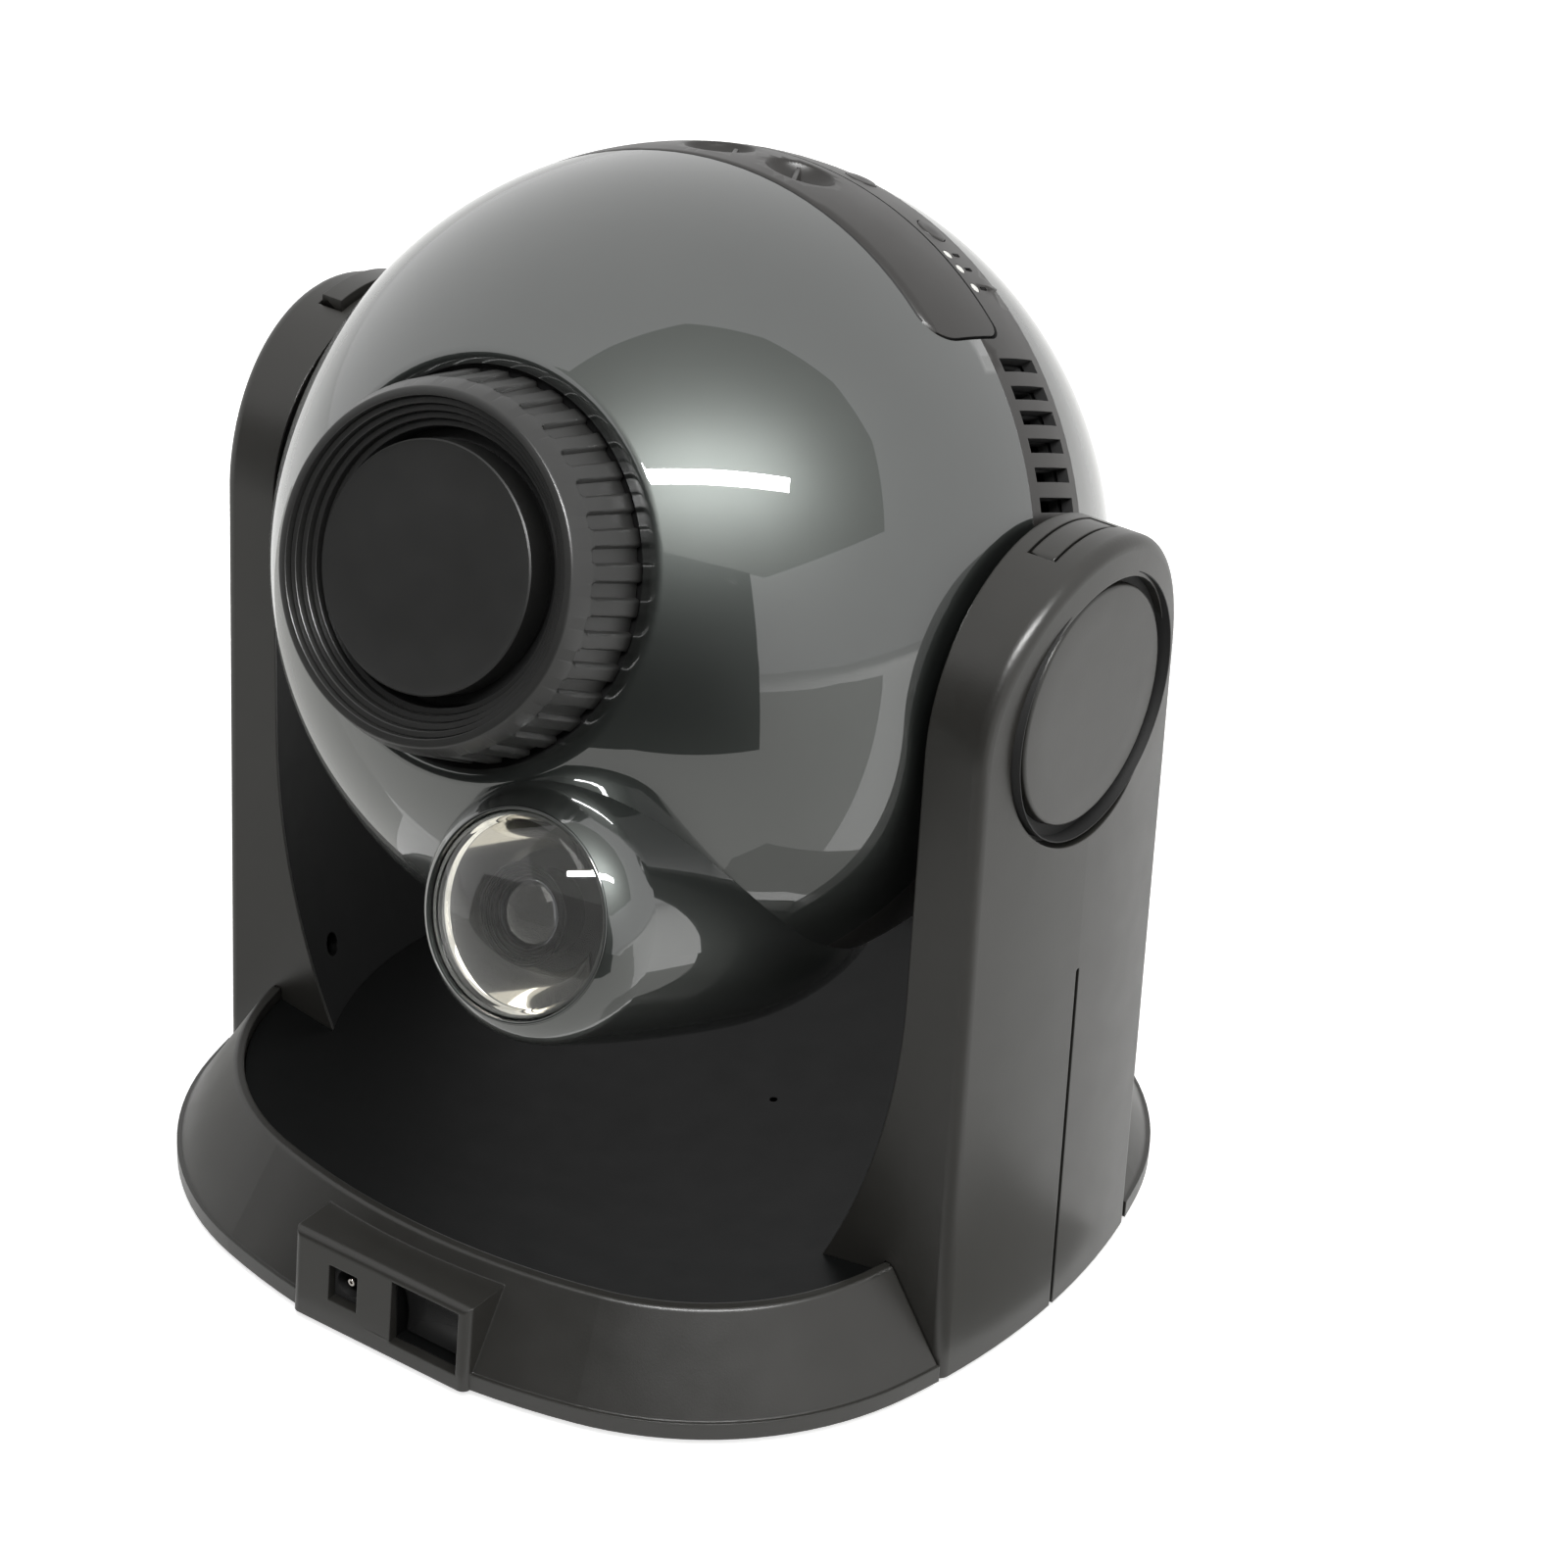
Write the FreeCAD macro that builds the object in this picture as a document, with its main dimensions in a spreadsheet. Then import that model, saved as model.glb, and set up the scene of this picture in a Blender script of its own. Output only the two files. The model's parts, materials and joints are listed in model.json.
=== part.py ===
"""Home planetarium projector: an optical ball that tilts in a yoke on a dished base.

Frame: millimetres, +Z up, origin on the table under the middle of the base.
The yoke axis runs along X. The lens looks towards -Y and upwards.
Pieces of the head are drawn in the ball's own axes, with the origin at the ball's centre:
X along the yoke axis, Y upwards across the lens axis, Z forwards along the lens axis.
"""
import FreeCAD, Part
import math
import operator
import os
import Sketcher
from FreeCAD import Placement, Rotation, Vector

DRIVING = [
    ("foot_height", 1.5, "gap between table and base edge"),
    ("base_half", 102.7, "half width of the base at the middle of a side"),
    ("side_radius", 175.0, "gentle curve of each side, in plan"),
    ("corner_radius", 70.7, "round corner of the base, in plan"),
    ("lip_height", 4.0, "upright edge round the foot of the base"),
    ("lip_step", 0.8, "small step where the slope meets the upright edge"),
    ("rim_height", 25.1, "crest of the rim above the table"),
    ("rim_inset", 13.1, "how far the slope leans in from foot to crest"),
    ("rim_land", 2.1, "flat top of the rim"),
    ("base_wall", 2.4, "moulded wall of the base"),
    ("ledge_width", 5.0, "ledge that carries the dish"),
    ("ledge_top", 11.0, "ledge above the table"),
    ("plate_thickness", 2.4, "bottom plate"),
    ("dish_floor", 14.0, "lowest point of the dish above the table"),
    ("dish_curve", 488.0, "radius of the shallow dish"),
    ("dish_wall", 2.5, "moulded wall of the dish"),
    ("small_gap", 0.3, "gap between neighbouring mouldings"),
    ("pivot_height", 147.0, "yoke axis above the table"),
    ("lens_elevation", 21.0, "lens axis above the horizon at rest, in degrees"),
    ("arm_half", 36.6, "half width of an arm at its round top"),
    ("arm_foot_half", 37.3, "half width of an arm at its foot"),
    ("arm_wall", 2.6, "moulded wall of an arm"),
    ("arm_lean", 1.78, "how far the outer face leans in between foot and yoke axis"),
    ("arm_round", 2.8, "rounded outer edge of an arm"),
    ("bowl_radius", 91.3, "inner face of the arms from the upright axis"),
    ("flare_radius", 181.0, "curve that brings the inner face in at the foot"),
    ("flare_height", 90.5, "height where that curve starts"),
    ("liner_wall", 2.2, "inner cover of an arm"),
    ("liner_inset", 1.1, "edge of the arm seen round its inner cover"),
    ("recess_radius", 28.5, "round recess of the pivot cap"),
    ("recess_floor", 96.3, "floor of that recess from the middle"),
    ("cap_radius", 27.0, "pivot cap"),
    ("cap_sink", 1.3, "pivot cap below the arm's face"),
    ("cap_wall", 1.4, "moulded wall of the pivot cap"),
    ("groove_width", 1.2, "long groove down an arm, width and depth"),
    ("groove_top", 86.4, "upper end of that groove"),
    ("plug_inner", 87.25, "blanking plug on an arm's top, inner edge"),
    ("plug_width", 6.2, "blanking plug across the arm"),
    ("shaft_radius", 9.0, "trunnion"),
    ("shaft_end", 97.4, "outer end of the trunnion from the middle"),
    ("bush_wall", 2.0, "yoke bush"),
    ("run_fit", 0.06, "radial running fit"),
    ("ball_radius", 88.0, "outside of the ball"),
    ("shell_wall", 2.5, "moulded wall of the ball"),
    ("band_half", 10.0, "half width of the middle band"),
    ("tongue_half", 14.0, "half width of the band's inner tongue"),
    ("tray_plane", 15.75, "star disc in front of the yoke axis"),
    ("lid_rear", 2.0, "rear edge of the tray opening, in front of the yoke axis"),
    ("lid_front", 24.7, "front edge of that opening"),
    ("lid_angle", 84.2, "arc of that opening round the ball, in degrees"),
    ("lid_gap", 0.4, "gap all round the lid"),
    ("disc_radius", 36.0, "star disc"),
    ("gear_teeth", 82.0, "teeth round the disc carrier"),
    ("pinion_teeth", 10.0, "teeth of the pinion"),
    ("ring_rear", 77.4, "rear edge of the focus ring from the ball's centre"),
    ("ring_face", 95.4, "front face of the focus ring"),
    ("ring_radius", 38.6, "focus ring at its rear edge"),
    ("ring_front", 36.6, "focus ring behind its bevel"),
    ("ring_nose", 34.6, "focus ring at its face"),
    ("hood_step", 1.44, "width of each step of the hood"),
    ("hood_rise", 1.4, "depth of each step of the hood"),
    ("ring_ribs", 35.0, "grip ribs round the focus ring"),
    ("rib_gap", 3.1, "width of the hollow between two ribs"),
    ("rib_depth", 0.8, "depth of that hollow"),
    ("barrel_radius", 23.5, "lens barrel"),
    ("mount_radius", 26.0, "tube that carries the lens barrel"),
    ("mount_front", 84.0, "front end of that tube"),
    ("lens_cap_radius", 24.8, "lens cap"),
    ("lens_cap_face", 95.0, "front of the lens cap"),
    ("pod_across", 32.0, "shooting star pod, sideways from the lens axis"),
    ("pod_drop", 60.6, "shooting star pod, below the lens axis"),
    ("pod_radius", 28.9, "thickest part of the pod"),
    ("pod_middle", 19.0, "place of that part along the lens axis"),
    ("pod_tail", 64.0, "length of the tail behind it"),
    ("pod_shoulder", 73.8, "where the side turns into the round nose"),
    ("pod_shoulder_radius", 26.3, "pod at that place"),
    ("pod_nose_curve", 13.5, "curve of the round nose"),
    ("pod_nose", 83.0, "front edge of the pod"),
    ("pod_wall", 2.2, "moulded wall of the pod"),
    ("window_radius", 20.4, "clear dome of the pod"),
    ("window_rise", 7.0, "height of that dome"),
    ("panel_half", 23.6, "half width of the socket panel"),
    ("panel_face", 102.9, "socket panel in front of the middle"),
    ("panel_top", 22.0, "top of the socket panel above the table"),
]

doc = FreeCAD.newDocument("PlanetariumProjector")
sheet = doc.addObject("Spreadsheet::Sheet", "Dims")
for row, (alias, value, meaning) in enumerate(DRIVING, start=1):
    sheet.set("A%d" % row, meaning)
    sheet.set("B%d" % row, str(value))
    sheet.setAlias("B%d" % row, alias)
doc.recompute()

# ---------------------------------------------------------------- sizes and bindings

ACTIONS = {"+": operator.add, "-": operator.sub, "*": operator.mul, "/": operator.truediv}


class Size:
    """A length worked out from the sheet: its value now and the formula that is bound."""

    def __init__(self, value, formula):
        self.value = float(value)
        self.formula = formula

    def __add__(self, other):
        return worked(self, "+", other)

    def __radd__(self, other):
        return worked(other, "+", self)

    def __sub__(self, other):
        return worked(self, "-", other)

    def __rsub__(self, other):
        return worked(other, "-", self)

    def __mul__(self, other):
        return worked(self, "*", other)

    def __rmul__(self, other):
        return worked(other, "*", self)

    def __truediv__(self, other):
        return worked(self, "/", other)

    def __rtruediv__(self, other):
        return worked(other, "/", self)

    def __neg__(self):
        return worked(0.0, "-", self)


def sized(item):
    """Plain numbers and sizes alike, as a size."""
    return item if isinstance(item, Size) else Size(item, "(%.6f)" % item)


def worked(left, sign, right):
    left, right = sized(left), sized(right)
    value = ACTIONS[sign](left.value, right.value)
    return Size(value, "(%s %s %s)" % (left.formula, sign, right.formula))


def root(item):
    return Size(math.sqrt(item.value), "sqrt(%s)" % item.formula)


def cap_curve(rim, rise):
    """The sphere whose cap has this rim radius and this height."""
    return (sized(rim) * rim + sized(rise) * rise) / (2 * sized(rise))


def cosine(degrees):
    degrees = sized(degrees)
    return Size(math.cos(math.radians(degrees.value)), "cos(%s)" % degrees.formula)


def sine(degrees):
    degrees = sized(degrees)
    return Size(math.sin(math.radians(degrees.value)), "sin(%s)" % degrees.formula)


class Dimensions:
    """The sheet's cells by name, as in dims.ball_radius."""


dims = Dimensions()
for alias, value, meaning in DRIVING:
    setattr(dims, alias, Size(value, "Dims." + alias))


def bind(item, **sizes):
    for name, size in sizes.items():
        item.setExpression(name, sized(size).formula)
    return item


def place(item, at=(0, 0, 0), turn=None):
    """Put an item's origin at a bound place, turned by a plain rotation."""
    if turn:
        item.Placement = Placement(Vector(0, 0, 0), turn)
    for axis, size in zip("xyz", at):
        if sized(size).value:
            item.setExpression("Placement.Base." + axis, sized(size).formula)
    return item


# ---------------------------------------------------------------- solids and booleans

def solid(kind, at=(0, 0, 0), turn=None, **sizes):
    item = doc.addObject("Part::" + kind, kind)
    return place(bind(item, **sizes), at, turn)


def ball(radius, at=(0, 0, 0)):
    return solid("Sphere", at, Radius=radius)


def rod(radius, low, high, at=(0, 0), axis="z"):
    """A round bar between two places on an axis, the other two coordinates in at."""
    turn = {"x": Rotation(Vector(0, 1, 0), 90), "y": Rotation(Vector(1, 0, 0), -90), "z": None}[axis]
    spot = {"x": (low, *at), "y": (at[0], low, at[1]), "z": (*at, low)}[axis]
    return solid("Cylinder", spot, turn, Radius=radius, Height=sized(high) - low)


def block(x, y, z):
    """A box from three pairs of low and high."""
    return solid("Box", (x[0], y[0], z[0]), Length=sized(x[1]) - x[0],
                 Width=sized(y[1]) - y[0], Height=sized(z[1]) - z[0])


def join(*items):
    item = doc.addObject("Part::MultiFuse", "Join")
    item.Shapes = list(items)
    return item


def cut(base, *tools):
    item = doc.addObject("Part::Cut", "Cut")
    item.Base = base
    item.Tool = tools[0] if len(tools) == 1 else join(*tools)
    return item


def meet(*items):
    result = items[0]
    for other in items[1:]:
        item = doc.addObject("Part::Common", "Meet")
        item.Base = result
        item.Tool = other
        result = item
    return result


def tube(outer, inner, low, high, at=(0, 0), axis="z"):
    slack = 1.0
    return cut(rod(outer, low, high, at, axis), rod(inner, sized(low) - slack, sized(high) + slack, at, axis))


# ---------------------------------------------------------------- sketches

def arc_between(start, end, radius, side):
    """The short arc between two points; side is +1 where its centre is left of the chord."""
    middle = (start + end) * 0.5
    chord = end - start
    reach = math.sqrt(max(radius ** 2 - (chord.Length / 2) ** 2, 0.0))
    centre = middle + Vector(-chord.y, chord.x, 0).normalize() * reach * side
    out = (middle - centre)
    if out.Length < 1e-9:
        out = Vector(chord.y, -chord.x, 0)
    crown = centre + out.normalize() * radius
    return Part.Arc(start, crown, end)


def outline(sketch, corners):
    """Draw a closed outline with every corner bound to the sheet.

    A corner is (x, y), or (x, y, radius, side) where an arc leads to the next corner.
    """
    points = [Vector(sized(c[0]).value, sized(c[1]).value, 0) for c in corners]
    for index, corner in enumerate(corners):
        start, end = points[index], points[(index + 1) % len(points)]
        if len(corner) == 2:
            sketch.addGeometry(Part.LineSegment(start, end), False)
        else:
            sketch.addGeometry(arc_between(start, end, sized(corner[2]).value, corner[3]), False)
    for index, corner in enumerate(corners):
        following = (index + 1) % len(corners)
        first = 1
        last = 2
        if len(corner) == 4:
            ends = [sketch.getPoint(index, 1), sketch.getPoint(index, 2)]
            if ends[0].distanceToPoint(points[index]) > 1e-6:
                first, last = 2, 1
        next_first = 1
        if len(corners[following]) == 4:
            if sketch.getPoint(following, 1).distanceToPoint(points[following]) > 1e-6:
                next_first = 2
        sketch.addConstraint(Sketcher.Constraint("Coincident", index, last, following, next_first))
        for name, way in (("DistanceX", 0), ("DistanceY", 1)):
            size = sized(corner[way])
            number = sketch.addConstraint(
                Sketcher.Constraint(name, -1, 1, index, first, size.value))
            sketch.setExpression("Constraints[%d]" % number, size.formula)
        if len(corner) == 4:
            close_arc(sketch, index, corner, (points[following] - points[index]).Length)
    return sketch


def close_arc(sketch, index, corner, chord):
    """Fix an arc whose two ends are bound: by its radius, or by its centre in a half circle."""
    size = sized(corner[2])
    constraint = Sketcher.Constraint("Radius", index, size.value)
    if chord > 1.999 * size.value:
        size = sized(corner[1])
        constraint = Sketcher.Constraint("DistanceY", -1, 1, index, 3, size.value)
    number = sketch.addConstraint(constraint)
    sketch.setExpression("Constraints[%d]" % number, size.formula)


def squircle(sketch, inset):
    """The base's plan: four gentle side arcs and four round corners, all tangent."""
    offset = dims.side_radius - dims.base_half
    k = offset
    far = dims.side_radius - dims.corner_radius
    corner = (root(2 * far * far - k * k) - k) / 2
    turn = math.degrees(math.atan2(corner.value, corner.value + k.value))
    side = dims.side_radius - inset
    bend = dims.corner_radius - inset
    for quarter in range(4):
        way = Vector(math.cos(quarter * math.pi / 2), math.sin(quarter * math.pi / 2), 0)
        left = Vector(-way.y, way.x, 0)
        start = math.radians(90 * quarter)
        swing = math.radians(turn)
        sketch.addGeometry(Part.ArcOfCircle(
            Part.Circle(way * -k.value, Vector(0, 0, 1), side.value),
            start - swing, start + swing), False)
        sketch.addGeometry(Part.ArcOfCircle(
            Part.Circle((way + left) * corner.value, Vector(0, 0, 1), bend.value),
            start + swing, start + math.pi / 2 - swing), False)
    for index in range(8):
        sketch.addConstraint(Sketcher.Constraint("Tangent", index, 2, (index + 1) % 8, 1))
    for quarter in range(4):
        way = (round(math.cos(quarter * math.pi / 2)), round(math.sin(quarter * math.pi / 2)))
        for name, part in (("DistanceX", way[0]), ("DistanceY", way[1])):
            size = -part * k
            number = sketch.addConstraint(
                Sketcher.Constraint(name, -1, 1, 2 * quarter, 3, size.value))
            if part:
                sketch.setExpression("Constraints[%d]" % number, size.formula)
        for index, size in ((2 * quarter, side), (2 * quarter + 1, bend)):
            number = sketch.addConstraint(Sketcher.Constraint("Radius", index, size.value))
            sketch.setExpression("Constraints[%d]" % number, size.formula)
    return sketch


def plan(inset, height):
    """A loose squircle sketch lying at a height."""
    sketch = doc.addObject("Sketcher::SketchObject", "Plan")
    place(sketch, (0, 0, height))
    return squircle(sketch, sized(inset))


def slab(inset, low, high):
    """An upright prism on the base's plan."""
    item = doc.addObject("Part::Extrusion", "Slab")
    item.Base = plan(inset, low)
    item.DirMode = "Custom"
    item.Dir = Vector(0, 0, 1)
    item.Solid = True
    return bind(item, LengthFwd=sized(high) - low)


def taper(inset_low, low, inset_high, high):
    """A solid between two plans of different inset."""
    item = doc.addObject("Part::Loft", "Taper")
    item.Sections = [plan(inset_low, low), plan(inset_high, high)]
    item.Solid = True
    item.Ruled = True
    return item


def side_profile(corners, depth_low, depth_high):
    """A closed outline in the Y-Z plane, pushed along X between two places."""
    sketch = doc.addObject("Sketcher::SketchObject", "Profile")
    sketch.Placement = Placement(Vector(0, 0, 0), Rotation(Vector(1, 1, 1), 120))
    place(sketch, (depth_low, 0, 0))
    outline(sketch, corners)
    item = doc.addObject("Part::Extrusion", "Pushed")
    item.Base = sketch
    item.DirMode = "Custom"
    item.Dir = Vector(1, 0, 0)
    item.Solid = True
    return bind(item, LengthFwd=sized(depth_high) - depth_low)


def spun(corners, at=(0, 0, 0)):
    """A closed outline of (radius, height) corners, turned about the Z axis."""
    sketch = doc.addObject("Sketcher::SketchObject", "Profile")
    sketch.Placement = Placement(Vector(0, 0, 0), Rotation(Vector(1, 0, 0), 90))
    outline(sketch, corners)
    item = doc.addObject("Part::Revolution", "Spun")
    item.Source = sketch
    item.Axis = Vector(0, 0, 1)
    item.Angle = 360
    item.Solid = True
    return place(item, at)


def turned(label, corners):
    """A turned piece as a body: one bound sketch of (radius, height) corners, revolved."""
    body = doc.addObject("PartDesign::Body", label)
    plane = [f for f in body.Origin.OriginFeatures if f.Role == "XZ_Plane"][0]
    sketch = body.newObject("Sketcher::SketchObject", label + "_outline")
    sketch.AttachmentSupport = (plane, [""])
    sketch.MapMode = "FlatFace"
    outline(sketch, corners)
    sketch.Visibility = False
    revolve = body.newObject("PartDesign::Revolution", label + "_turn")
    revolve.Profile = sketch
    revolve.ReferenceAxis = (sketch, ["V_Axis"])
    revolve.Angle = 360
    return body


# ---------------------------------------------------------------- pieces

STAND = "stand"
HEAD = "head"
PIECES = []


def piece(label, item, home=STAND):
    """Name a finished piece and put it on the stand or in the tilted head."""
    item.Label = label
    if home == HEAD:
        item.Placement = Placement(Vector(0, 0, 0), Rotation(Vector(1, 0, 0), 90 - dims.lens_elevation.value))
        item.setExpression("Placement.Base.z", dims.pivot_height.formula)
        item.setExpression("Placement.Rotation.Angle", (90 - dims.lens_elevation).formula)
    PIECES.append(item)
    return item


def mirrored(item):
    """The same piece on the other side of the middle."""
    twin = doc.addObject("Part::Mirroring", "Mirrored")
    twin.Source = item
    twin.Normal = Vector(1, 0, 0)
    return twin


def rounded(item, radius, chosen):
    """Fillet the edges that a test on their ends and middle picks out."""
    doc.recompute()
    picked = []
    for number, edge in enumerate(item.Shape.Edges, start=1):
        middle = edge.valueAt((edge.FirstParameter + edge.LastParameter) / 2)
        if chosen([v.Point for v in edge.Vertexes], middle):
            picked.append((number, radius, radius))
    result = doc.addObject("Part::Fillet", "Rounded")
    result.Base = item
    result.Edges = picked
    return result


def radial(angle):
    """Turns a bar along Z to point outwards, at an angle from the top of the ball."""
    return Rotation(Vector(0, 0, 1), -angle) * Rotation(Vector(1, 0, 0), -90)


def spoke(radius, low, high, angle, forward):
    """A round bar pointing outwards from the lens axis."""
    at = (sine(angle) * low, cosine(angle) * low, forward)
    return solid("Cylinder", at, radial(angle), Radius=radius, Height=sized(high) - low)


def leaning_block(across, outward, forward, angle):
    """A box turned about the lens axis: across, outwards and along that axis, low and high."""
    x, y = sized(across[0]), sized(outward[0])
    at = (x * cosine(angle) + y * sine(angle), y * cosine(angle) - x * sine(angle), forward[0])
    return solid("Box", at, Rotation(Vector(0, 0, 1), -angle), Length=sized(across[1]) - x,
                 Width=sized(outward[1]) - y, Height=sized(forward[1]) - forward[0])


SCREW_RADIUS = 1.5
SCREW_HEAD = 2.9
HEAD_DEPTH = 2.0


def screw(low, high, at):
    """A pan head screw with its head at the low end, pointing along Z."""
    head = rod(SCREW_HEAD, low, sized(low) + HEAD_DEPTH, at)
    return join(head, rod(SCREW_RADIUS, sized(low) + HEAD_DEPTH, high, at))


# ---------------------------------------------------------------- base

foot = dims.foot_height
lip_top = foot + dims.lip_height
crest = dims.rim_height
well_inset = dims.rim_inset + dims.rim_land
inner_wall = well_inset - dims.base_wall
plate_top = foot + dims.plate_thickness
ledge_low = dims.ledge_top - dims.base_wall
FAR = 120.0
CORNERS = [(1, 1), (-1, 1), (-1, -1), (1, -1)]
PILLAR_AT = 65.6
PILLAR_RADIUS = 4.2
FOOT_OUTER = 86.0
FOOT_INNER = 78.0
FOOT_SUNK = 0.6

jack_x = (-13.7, -6.0)
jack_z = (8.2, 17.0)
rocker_x = (3.1, 20.9)
rocker_z = (5.0, 20.2)
well_wall = 0.7
cavity_half = dims.panel_half - 2.0
cavity_top = dims.panel_top - 1.1
cavity_face = dims.panel_face - 2.8
cavity_back = dims.base_half - inner_wall + 0.3
board_post_x = (-17.5, -1.5)
board_post_y = -95.5
board_low = 5.0
board_top = 6.6
hinge_y = -93.9
hinge_z = (rocker_z[0] + rocker_z[1]) / 2


CREST_ROUND = 1.2
PANEL_ROUND = 1.9
PANEL_LEAN = 1.3


def base_outer():
    """Upright lip, sloping flange and the socket panel that stands out of it."""
    flange = join(slab(0, foot, lip_top), taper(dims.lip_step, lip_top, dims.rim_inset, crest))
    flange = rounded(flange, CREST_ROUND, lambda ends, mid: all(abs(p.z - crest.value) < 0.01 for p in ends))
    face = -dims.panel_face
    back = -(dims.base_half - well_inset) + 0.5
    panel = side_profile([(face, foot), (back, foot), (back, dims.panel_top),
                          (face + PANEL_LEAN, dims.panel_top)], -dims.panel_half, dims.panel_half)
    front = face.value + 2.0
    panel = rounded(panel, PANEL_ROUND, lambda ends, mid: mid.y < front and mid.z > foot.value + 1)
    return join(flange, panel)


def flange_hollow():
    """The ring shaped space under the slope, and the open middle under the ledge."""
    rise = crest - lip_top
    run = dims.rim_inset - dims.lip_step
    shift = dims.base_wall * root(rise * rise + run * run) / rise
    top_inset = inner_wall - 0.5
    top = lip_top + (top_inset - dims.lip_step - shift) * rise / run
    space = join(slab(dims.base_wall, foot - 1, lip_top),
                 taper(dims.lip_step + shift, lip_top, top_inset, top))
    return cut(space, slab(inner_wall, ledge_low, crest))


def panel_cavity():
    """Room for the socket and the switch behind the panel."""
    return side_profile([(-cavity_face, foot - 1), (-cavity_back, foot - 1), (-cavity_back, cavity_top),
                         (-cavity_face, cavity_top)], -cavity_half, cavity_half)


def arm_slots():
    """The two gaps in the flange where the arms stand."""
    half = dims.arm_foot_half + dims.small_gap
    across = [block((70, FAR), (-half, half), (0, crest + 1)),
              block((-FAR, -70), (-half, half), (0, crest + 1))]
    return cut(join(*across), slab(dims.rim_inset + 0.9, -1, crest + 2))


base_screws = [screw(foot + 0.5, dims.ledge_top - 0.6, (PILLAR_AT * i, PILLAR_AT * j))
               for i, j in CORNERS]
screw_group = join(*base_screws)
well = slab(well_inset, dims.ledge_top, crest + 1)
middle_opening = slab(well_inset + dims.ledge_width, foot - 1, dims.ledge_top + 1)
panel_front = (-dims.panel_face - 1, -dims.panel_face + 4)
jack_opening = block(jack_x, panel_front, jack_z)
rocker_opening = block(rocker_x, panel_front, rocker_z)
piece("base_shell", cut(base_outer(), flange_hollow(), panel_cavity(), well, middle_opening,
                        jack_opening, rocker_opening, arm_slots(), screw_group))

pillars = [rod(PILLAR_RADIUS, plate_top - 0.5, ledge_low, (PILLAR_AT * i, PILLAR_AT * j)) for i, j in CORNERS]
board_posts = [rod(2.2, plate_top - 0.5, board_low, (x, board_post_y)) for x in board_post_x]
head_wells = [rod(SCREW_HEAD + 0.2, foot - 1, foot + 0.5, (PILLAR_AT * i, PILLAR_AT * j)) for i, j in CORNERS]
foot_groove = tube(FOOT_OUTER + 0.1, FOOT_INNER - 0.1, foot - 1, foot + FOOT_SUNK)
bottom = slab(dims.base_wall + dims.small_gap, foot, plate_top)
piece("base_plate", cut(join(bottom, *pillars, *board_posts), screw_group, *head_wells, foot_groove))
piece("base_screws", screw_group)
piece("foot_ring", tube(FOOT_OUTER, FOOT_INNER, 0, foot + FOOT_SUNK))

dish_centre = (0, 0, dims.dish_floor + dims.dish_curve)
dish_inset = well_inset + dims.small_gap
dish_block = cut(slab(dish_inset, dims.ledge_top, crest), ball(dims.dish_curve, dish_centre))
under = cut(slab(dish_inset + 2.0, dims.ledge_top - 1, crest),
            ball(dims.dish_curve + dims.dish_wall, dish_centre))
dish_hole_at = (21.6, 10.0)
dish_hole = rod(0.9, 5, 20, dish_hole_at)
piece("dish", cut(dish_block, under, dish_hole))

# ---------------------------------------------------------------- socket and switch

jack_mid = (jack_x[0] + jack_x[1]) / 2
jack_height = (jack_z[0] + jack_z[1]) / 2
JACK_HALF = 4.5
JACK_BORE = 3.15
JACK_DEEP = -93.0
JACK_PIN = 1.0
power_board = block((-20.9, 1.3), (-99.9, -90.6), (board_low, board_top))
piece("power_board", cut(power_board, rod(1.1, 4, 8, (-18.8, -98.0))))
jack_body = block((jack_mid - JACK_HALF, jack_mid + JACK_HALF), (-cavity_face + 0.1, -91.0), (board_top, 17.9))
piece("dc_jack", cut(jack_body, rod(JACK_BORE, -FAR, JACK_DEEP, (jack_mid, jack_height), "y")))
piece("dc_jack_pin", cut(rod(JACK_PIN, -99.4, JACK_DEEP, (jack_mid, jack_height), "y"),
                         rod(0.4, -99.9, -98.4, (jack_mid, jack_height), "y")))
housing = block((rocker_x[0] - well_wall, rocker_x[1] + well_wall), (-cavity_face + 0.1, -90.5),
                (plate_top, rocker_z[1] + well_wall))
housing_well = block(rocker_x, (-FAR, -91.3), rocker_z)
hinge_hole = 1.25
housing_pins = rod(hinge_hole, -FAR, FAR, (hinge_y, hinge_z), "x")
piece("switch_housing", cut(housing, housing_well, housing_pins))
ROCKER_TILT = 8.0
rocker_half = 8.65
hinge_pin = 1.2
rocker_end = rocker_half + 0.85
rocker = join(side_profile([(-4.6, -6.9), (1.8, -4.0), (1.8, 4.0), (-4.6, 6.9), (-3.2, 0)],
                           -rocker_half, rocker_half),
              rod(hinge_pin, -rocker_end, rocker_end, (0, 0), "x"))
rocker_mid = (rocker_x[0] + rocker_x[1]) / 2
place(piece("switch_rocker", rocker), (rocker_mid, hinge_y, hinge_z),
      Rotation(Vector(1, 0, 0), ROCKER_TILT))

# ---------------------------------------------------------------- arms

pivot = dims.pivot_height
side_centre = dims.base_half - dims.side_radius


def cone(inset):
    """The outer face of the right arm: part of a slightly leaning cone."""
    height = pivot + 60
    radius = dims.side_radius - inset
    drawn_in = dims.arm_lean * height / (pivot - foot)
    return solid("Cone", (side_centre, 0, foot), Radius1=radius, Radius2=radius - drawn_in, Height=height)


def arm_block(inset, face_inset, low):
    """Everything inside the arm's outline and its outer face."""
    half = dims.arm_half - inset
    foot_half = dims.arm_foot_half - inset
    corners = [(-foot_half, low), (foot_half, low), (half, pivot, half, 1), (-half, pivot)]
    return meet(side_profile(corners, 60, FAR), cone(face_inset))


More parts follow.
